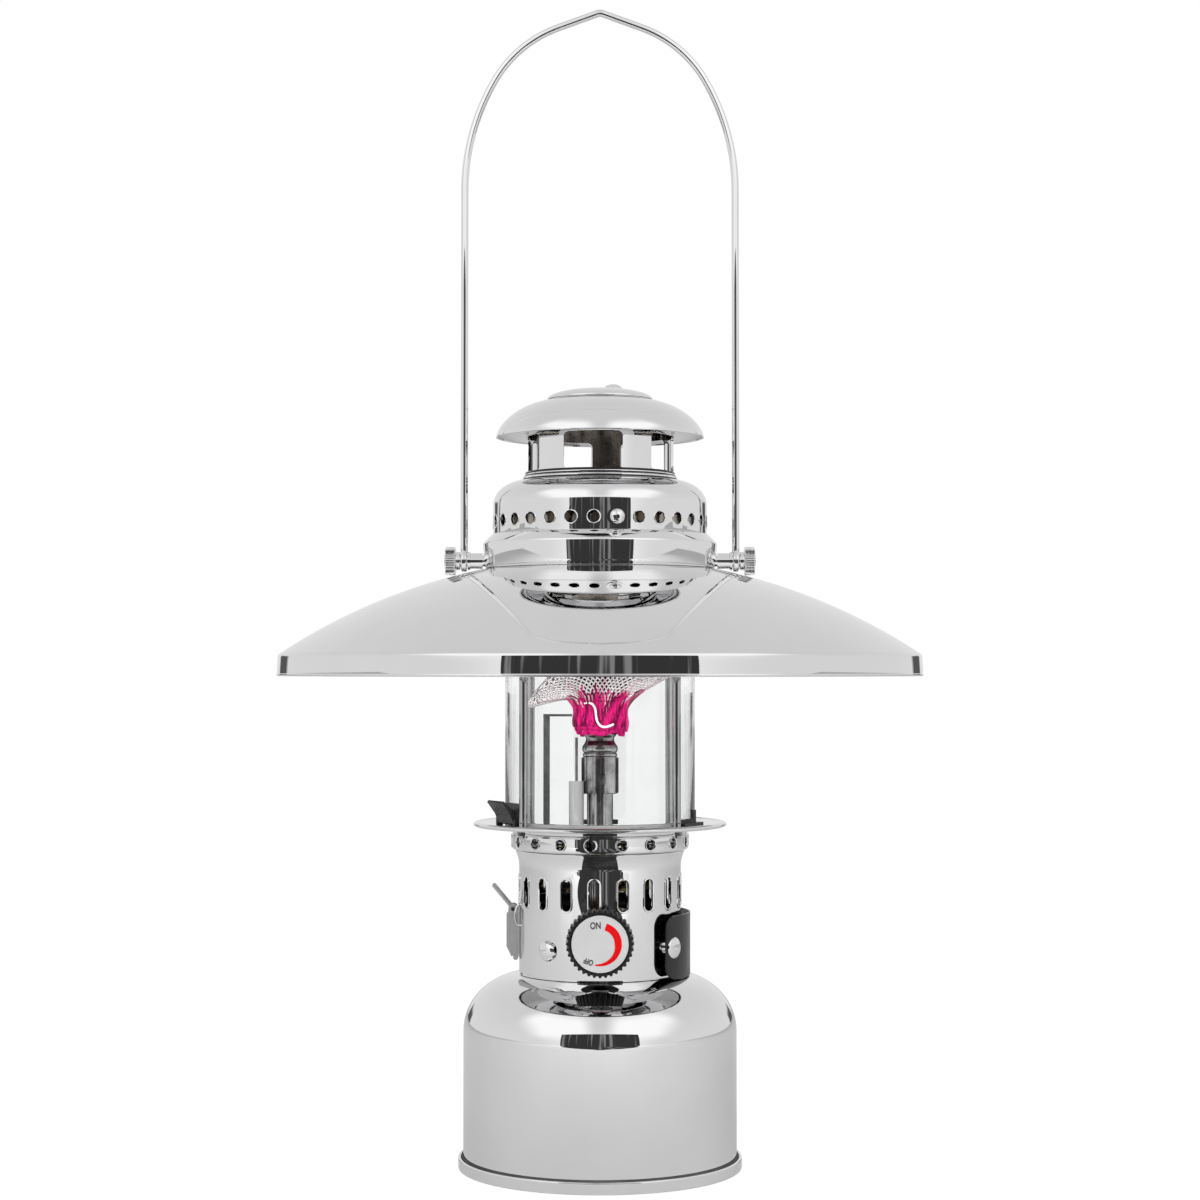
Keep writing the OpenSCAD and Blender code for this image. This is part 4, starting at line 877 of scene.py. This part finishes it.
def set_dye_and_shade(piece, colours):
    # Writes the colours: the yarns' dye, and painted shade for the dark sheet behind the net.
    layer = piece.data.color_attributes.new("dye_and_shade", "FLOAT_COLOR", "POINT")
    layer.data.foreach_set("color", [c for rgb in colours for c in (*rgb, 1)])


def mantle():
    columns, rows, yarn = 66, 26, 0.34
    verts, faces, colours = [], [], []

    def strand(a0, v0, a1, v1, size):
        path = [in_space(a0 + (a1 - a0) * t, v0 + (v1 - v0) * t) for t in (0, 0.5, 1)]
        mesh = tube(path, size, sides=4)
        start = len(verts)
        verts.extend(mesh[0])
        faces.extend([[start + i for i in f] for f in mesh[1]])
        for t in (0, 0.5, 1):
            colours.extend([yarn_colour(a0 + (a1 - a0) * t, v0 + (v1 - v0) * t)] * 4)
    step = 2 * math.pi / columns
    for j in range(rows):
        v0, v1 = j / rows, (j + 1) / rows
        size = 0.42 if v1 < 0.28 else yarn
        for i in range(columns):
            a = (i + 0.5 * (j % 2)) * step
            jitter = 0.12 * step * math.sin(12.9 * i + 4.1 * j)
            for side in (-0.5, 0.5):
                strand(a + jitter, v0, a + side * step, min(v1, 0.985), size)
    net = make("mantle_net", (verts, faces), KNIT, replaces=["mantle"], sharp=180)
    set_dye_and_shade(net, colours)
    mantle_gather()
    tie()


def mantle_shade_sheet():
    """A dark sheet behind the net's front, coloured in painted shade so that the net's gaps look dark; it stands for
    a fold of the net in shadow. Returns it with its colours.
    """
    across, along, inset = 24, 12, -1.1
    verts, faces = [], []
    for side in (0, -0.3):
        for i in range(across + 1):
            a = 1.5 * math.pi + 0.8 * (2 * i / across - 1)
            for k in range(along + 1):
                verts.append(in_space(a, 0.27 + 0.42 * k / along, inset + side))
    row, layer = along + 1, (across + 1) * (along + 1)
    for i in range(across):
        for k in range(along):
            b = i * row + k
            c = layer + b
            faces += [[b, b + 1, b + row + 1, b + row], [c, c + row, c + row + 1, c + 1]]
    rim = ([k for k in range(row)] + [i * row + along for i in range(1, across + 1)]
           + [across * row + k for k in range(along - 1, -1, -1)] + [i * row for i in range(across - 1, 0, -1)])
    for p, n in zip(rim, rim[1:] + rim[:1]):
        faces.append([p, p + layer, n + layer, n])
    return verts, faces, [SHADOW] * len(verts)


def mantle_gather():
    """The gathered foot of the mantle: thick twisted yarns side by side."""
    count = 64
    # The dark sheet of painted shade behind the net's front goes into this piece too.
    verts, faces, colours = mantle_shade_sheet()
    for i in range(count):
        a = 2 * math.pi * i / count
        hem = 0.012 + 0.05 * (0.5 + 0.5 * math.sin(4.3 * i)) + 0.06 * max(0, math.cos(a - 1.4 * math.pi)) ** 12
        length = 0.31 + 0.06 * math.sin(2.7 * i) * math.sin(1.1 * i) + 0.06 * max(0, math.cos(a)) ** 4
        path = []
        for k in range(15):
            v = hem + length * k / 14
            sway = 0.02 * math.sin(k * 1.1 + i * 2.1)
            path.append(in_space(a + sway, v, 0.35 + 0.25 * math.sin(i * 3.7 + k * 0.8)))
        mesh = tube(path, [0.6 - 0.016 * k for k in range(15)], sides=6)
        start = len(verts)
        verts.extend(mesh[0])
        faces.extend([[start + n for n in f] for f in mesh[1]])
        for k in range(15):
            tone = 0.68 + 0.44 * math.sin(i * 5.3 + k * 0.5)
            colours.extend([[min(1, c * tone) for c in HOT_PINK]] * 6)
    gather = make("mantle_yarns_and_shade_sheet", (verts, faces), KNIT, sharp=180)
    set_dye_and_shade(gather, colours)
    return gather


def tie():
    """Tie cord round the mantle's foot, with its loose end on the front."""
    r, wire = COLLAR_R - 1.2, 0.5
    z = (foot("mantle_tie") + top("mantle_tie")) / 2
    loop = [(r * math.cos(t), r * math.sin(t), z + 0.4 * math.sin(3 * t))
            for t in [2 * math.pi * k / 60 for k in range(60)]]
    end = [(-6.2, 12.2), (-4.4, 12.6), (-2.6, 11.6), (-1.7, 9.4), (-1.6, 7.2), (-0.9, 4.6), (0.6, 3.2), (3.0, 3.2),
           (5.4, 4.2)]
    path = [(x, -math.sqrt((COLLAR_R + 1.6) ** 2 - x * x) - 0.15 * dz / 3, MANTLE_FOOT + dz) for x, dz in end]
    mesh = join(tube(loop, wire, sides=8, closed=True), tube(eased(path), wire, sides=8))
    cord = make("tie_string", mesh, KNIT, replaces=["mantle_tie"], sharp=180)
    set_dye_and_shade(cord, [OFF_WHITE] * len(mesh[0]))
    return cord


# Finish of the solids that stay as they are

CAD_FINISH = {
    "chrome": CHROME, "brass": BRASS, "burner_steel": BURNER, "black_plastic": BLACK_PLASTIC,
    "red_plastic": RED_PLASTIC, "black_enamel": BLACK_ENAMEL_AND_SHADE, "cartridge_paint": CARTRIDGE, "rubber": RUBBER,
    "ceramic": CERAMIC, "dial_face": DIAL, "dial_red": DIAL_RED, "glass": GLASS, "shade_chrome": SHADE_CHROME,
    "mantle_knit": KNIT, "tie_cord": KNIT,
}
SPECIAL_FINISH = {"heat_shield": STAIN_AND_SHADE, "glass_gasket": GASKET, "latch_bracket": SATIN, "latch_lever": SATIN}
SOFT_EDGES = {
    "glass_clips": 0.4, "glass_latch": 0.35, "glass_latch_ears": 0.2, "ground_electrode": 0.2, "latch_bracket": 0.25,
    "electrode_ceramic": 0.3, "gland_nut": 0.3, "rod_nuts": 0.25,
}


def finish_solids():
    slots = {s["node"]: s["material_slot"] for s in frame["record"]["subparts"]}
    for name, solid in frame["nodes"].items():
        finish = SPECIAL_FINISH.get(name, CAD_FINISH[slots[name]])
        solid.data.materials.clear()
        solid.data.materials.append(finish)
        if name in SOFT_EDGES:
            softened(solid, SOFT_EDGES[name])


# Stage: a pale floor, soft light all round, and the camera

def flat_mesh(name, points, faces):
    """Object of flat faces, with its points in metres."""
    data = bpy.data.meshes.new(name)
    data.from_pydata(points, [], faces)
    piece = bpy.data.objects.new(name, data)
    bpy.context.scene.collection.objects.link(piece)
    return piece


def hide(piece, *rays):
    for ray in rays:
        setattr(piece, "visible_" + ray, False)


def floor():
    size, near, drop = 6, 0.95, 0.0002
    corners = [(-size, -near, 0), (size, -near, 0), (size, size, 0), (-size, size, 0)]
    plane = flat_mesh("floor", corners, [[0, 1, 2, 3]])
    plane.location.z = -drop
    s = Shader("floor_paper")
    s.link(s.ramp(s.noise(3, 2), (0.2, (0.67, 0.67, 0.67)), (0.8, (0.71, 0.71, 0.71))), "Base Color")
    s.set(Roughness=0.9, Specular_IOR_Level=0.1)
    glow = s.node("ShaderNodeEmission", Color=(1, 1, 1, 1), Strength=1.14)
    path = s.node("ShaderNodeLightPath")
    seen = s.node("ShaderNodeMath")
    seen.operation = "MAXIMUM"
    s.tree.links.new(path.outputs["Is Camera Ray"], seen.inputs[0])
    s.tree.links.new(path.outputs["Is Transmission Ray"], seen.inputs[1])
    share = s.node("ShaderNodeMath", Value=seen.outputs["Value"])
    share.operation = "MULTIPLY"
    share.inputs[1].default_value = 0.82
    s.shown(share.outputs["Value"], s.surface.outputs["BSDF"], glow.outputs["Emission"])
    plane.data.materials.append(s.material)


class Sky:
    """The studio round the object, as a function of direction."""

    def __init__(self):
        self.world = bpy.data.worlds.new("studio")
        bpy.context.scene.world = self.world
        self.world.use_nodes = True
        self.tree = self.world.node_tree
        self.back = self.tree.nodes["Background"]
        place = self.tree.nodes.new("ShaderNodeTexCoord")
        parts = self.tree.nodes.new("ShaderNodeSeparateXYZ")
        self.tree.links.new(place.outputs["Generated"], parts.inputs["Vector"])
        self.x, self.y, self.z = (parts.outputs[k] for k in "XYZ")

    def math(self, operation, *values):
        made = self.tree.nodes.new("ShaderNodeMath")
        made.operation = operation
        for socket, value in zip(made.inputs, values):
            if isinstance(value, bpy.types.NodeSocket):
                self.tree.links.new(value, socket)
            else:
                socket.default_value = value
        return made.outputs["Value"]

    def step(self, value, start, end):
        """Smooth step of a value from 0 at one place to 1 at another."""
        made = self.tree.nodes.new("ShaderNodeMapRange")
        made.interpolation_type = "SMOOTHSTEP"
        self.tree.links.new(value, made.inputs["Value"])
        made.inputs["From Min"].default_value = start
        made.inputs["From Max"].default_value = end
        return made.outputs["Result"]

    def between(self, value, low, high, soft):
        return self.math("MULTIPLY", self.step(value, low - soft, low), self.step(value, high + soft, high))

    def blend(self, share, first, second):
        made = self.tree.nodes.new("ShaderNodeMix")
        self.tree.links.new(share, made.inputs["Factor"])
        for name, value in (("A", first), ("B", second)):
            if isinstance(value, bpy.types.NodeSocket):
                self.tree.links.new(value, made.inputs[name])
            else:
                made.inputs[name].default_value = value
        return made.outputs["Result"]


def studio():
    """White to the eye; in reflections, soft boxes in front and the darker room behind the camera."""
    sky = Sky()
    front = sky.math("MULTIPLY", sky.y, -1.0)
    across = sky.math("ABSOLUTE", sky.x)
    facing = sky.step(front, 0.0, 0.3)
    level = sky.blend(sky.step(sky.z, 0.0, 0.9), 0.80, 0.72)
    strip = sky.math("MULTIPLY", sky.step(across, 0.85, 0.4), sky.step(sky.z, 0.5, 0.1))
    level = sky.blend(sky.math("MULTIPLY", strip, facing), level, 1.0)
    boxes = sky.math("MULTIPLY", sky.between(across, 0.28, 0.7, 0.24), sky.between(sky.z, 0.34, 0.7, 0.28))
    level = sky.blend(sky.math("MULTIPLY", boxes, facing), level, 1.15)
    edge = sky.math("MULTIPLY", sky.between(across, 0.42, 0.56, 0.05), sky.step(sky.y, 0.55, 0.7))
    level = sky.blend(sky.math("MULTIPLY", edge, sky.step(sky.z, 0.14, 0.07)), level, 0.1)
    path = sky.tree.nodes.new("ShaderNodeLightPath")
    straight = sky.math("LESS_THAN", path.outputs["Glossy Depth"], 0.5)
    through = sky.math("MULTIPLY", path.outputs["Is Transmission Ray"], straight)
    seen = sky.math("MAXIMUM", path.outputs["Is Camera Ray"], through)
    lit = sky.blend(path.outputs["Is Glossy Ray"], 0.62, level)
    sky.tree.links.new(sky.blend(seen, lit, 1.0), sky.back.inputs["Strength"])
    sky.back.inputs["Color"].default_value = (1, 1, 1, 1)


def dark_card():
    """Dark card behind the camera, with paler upright bars and a tongue on the floor. Only reflections see it."""
    wide, low_z, high_z, y = 0.79, -0.6, 0.58, -1.25
    tongue_w, near, reach, lift = 0.5, -0.96, 0.5, 0.0005
    tongue = [(x, near + out, lift) for x, out in arc(0, 0, tongue_w, reach, 0, 180, 24)]
    corners = [(-wide, y, low_z), (wide, y, low_z), (wide, y, high_z), (-wide, y, high_z)]
    card = flat_mesh("dark_card", corners + tongue, [[0, 1, 2, 3], list(range(4, 4 + len(tongue)))])
    s = Shader("dark_card")
    bars = s.ramp(s.noise(16, 2, stretch=(1, 0.02, 0.02)), (0.56, (0.04, 0.04, 0.04)), (0.66, (0.24, 0.24, 0.24)))
    glow = s.node("ShaderNodeEmission", Color=bars, Strength=1.0)
    clear = s.node("ShaderNodeBsdfTransparent")
    mirrored = s.node("ShaderNodeMath", Value=s.node("ShaderNodeLightPath").outputs["Glossy Depth"])
    mirrored.operation = "GREATER_THAN"
    s.shown(mirrored.outputs["Value"], clear.outputs["BSDF"], glow.outputs["Emission"])
    card.data.materials.append(s.material)
    hide(card, "camera", "diffuse", "volume_scatter", "shadow")


def neck_flag():
    """Small dark card in front of the neck that only reflections from above see."""
    z, near, far, near_w, far_w = 0.085, 0.062, 0.2, 0.022, 0.09
    corners = [(-far_w, -far, z), (far_w, -far, z), (near_w, -near, z), (-near_w, -near, z)]
    card = flat_mesh("neck_flag", corners, [[0, 1, 2, 3]])
    s = Shader("neck_flag")
    cloth = s.ramp(s.noise(30, 2), (0.3, (0.02, 0.02, 0.02)), (0.7, (0.06, 0.06, 0.06)))
    glow = s.node("ShaderNodeEmission", Color=cloth)
    clear = s.node("ShaderNodeBsdfTransparent")
    below = s.node("ShaderNodeNewGeometry").outputs["Backfacing"]
    s.shown(below, glow.outputs["Emission"], clear.outputs["BSDF"])
    card.data.materials.append(s.material)
    hide(card, "camera", "diffuse", "transmission", "volume_scatter", "shadow")


def lamp(name, place, size, power):
    data = bpy.data.lights.new(name, "AREA")
    data.shape = "RECTANGLE"
    data.size, data.size_y = size
    data.energy = power
    light = bpy.data.objects.new(name, data)
    light.location = place
    light.rotation_euler = (Vector((0, 0, 0.22)) - Vector(place)).to_track_quat("-Z", "Y").to_euler()
    light.visible_glossy = False
    light.visible_camera = False
    light.visible_transmission = False
    bpy.context.scene.collection.objects.link(light)


def camera():
    distance, height, tilt = 1.020, 0.2003, 1.557
    data = bpy.data.cameras.new("camera")
    data.sensor_width = 36
    data.lens = 75.57
    data.clip_start, data.clip_end = 0.05, 50
    eye = bpy.data.objects.new("camera", data)
    eye.location = (0, -distance, height)
    eye.rotation_euler = (math.radians(90 + tilt), 0, 0)
    bpy.context.scene.collection.objects.link(eye)
    bpy.context.scene.camera = eye


camera()
finish_solids()
for build in (base, bottom, neck, collar, label, knob, latch_loop, gallery, chimney_glass, rods, burner, shade, hood,
              chimney, cap, bail, thumb_nuts, mantle):
    build()
floor()
dark_card()
neck_flag()
studio()
lamp("key", (-1.3, -1.2, 1.5), (1.4, 1.4), 14)
lamp("fill", (1.5, -0.9, 1.2), (1.4, 1.4), 9)
lamp("front", (0, -1.6, 0.2), (1.2, 0.4), 37)
bpy.context.scene.view_settings.view_transform = "Standard"
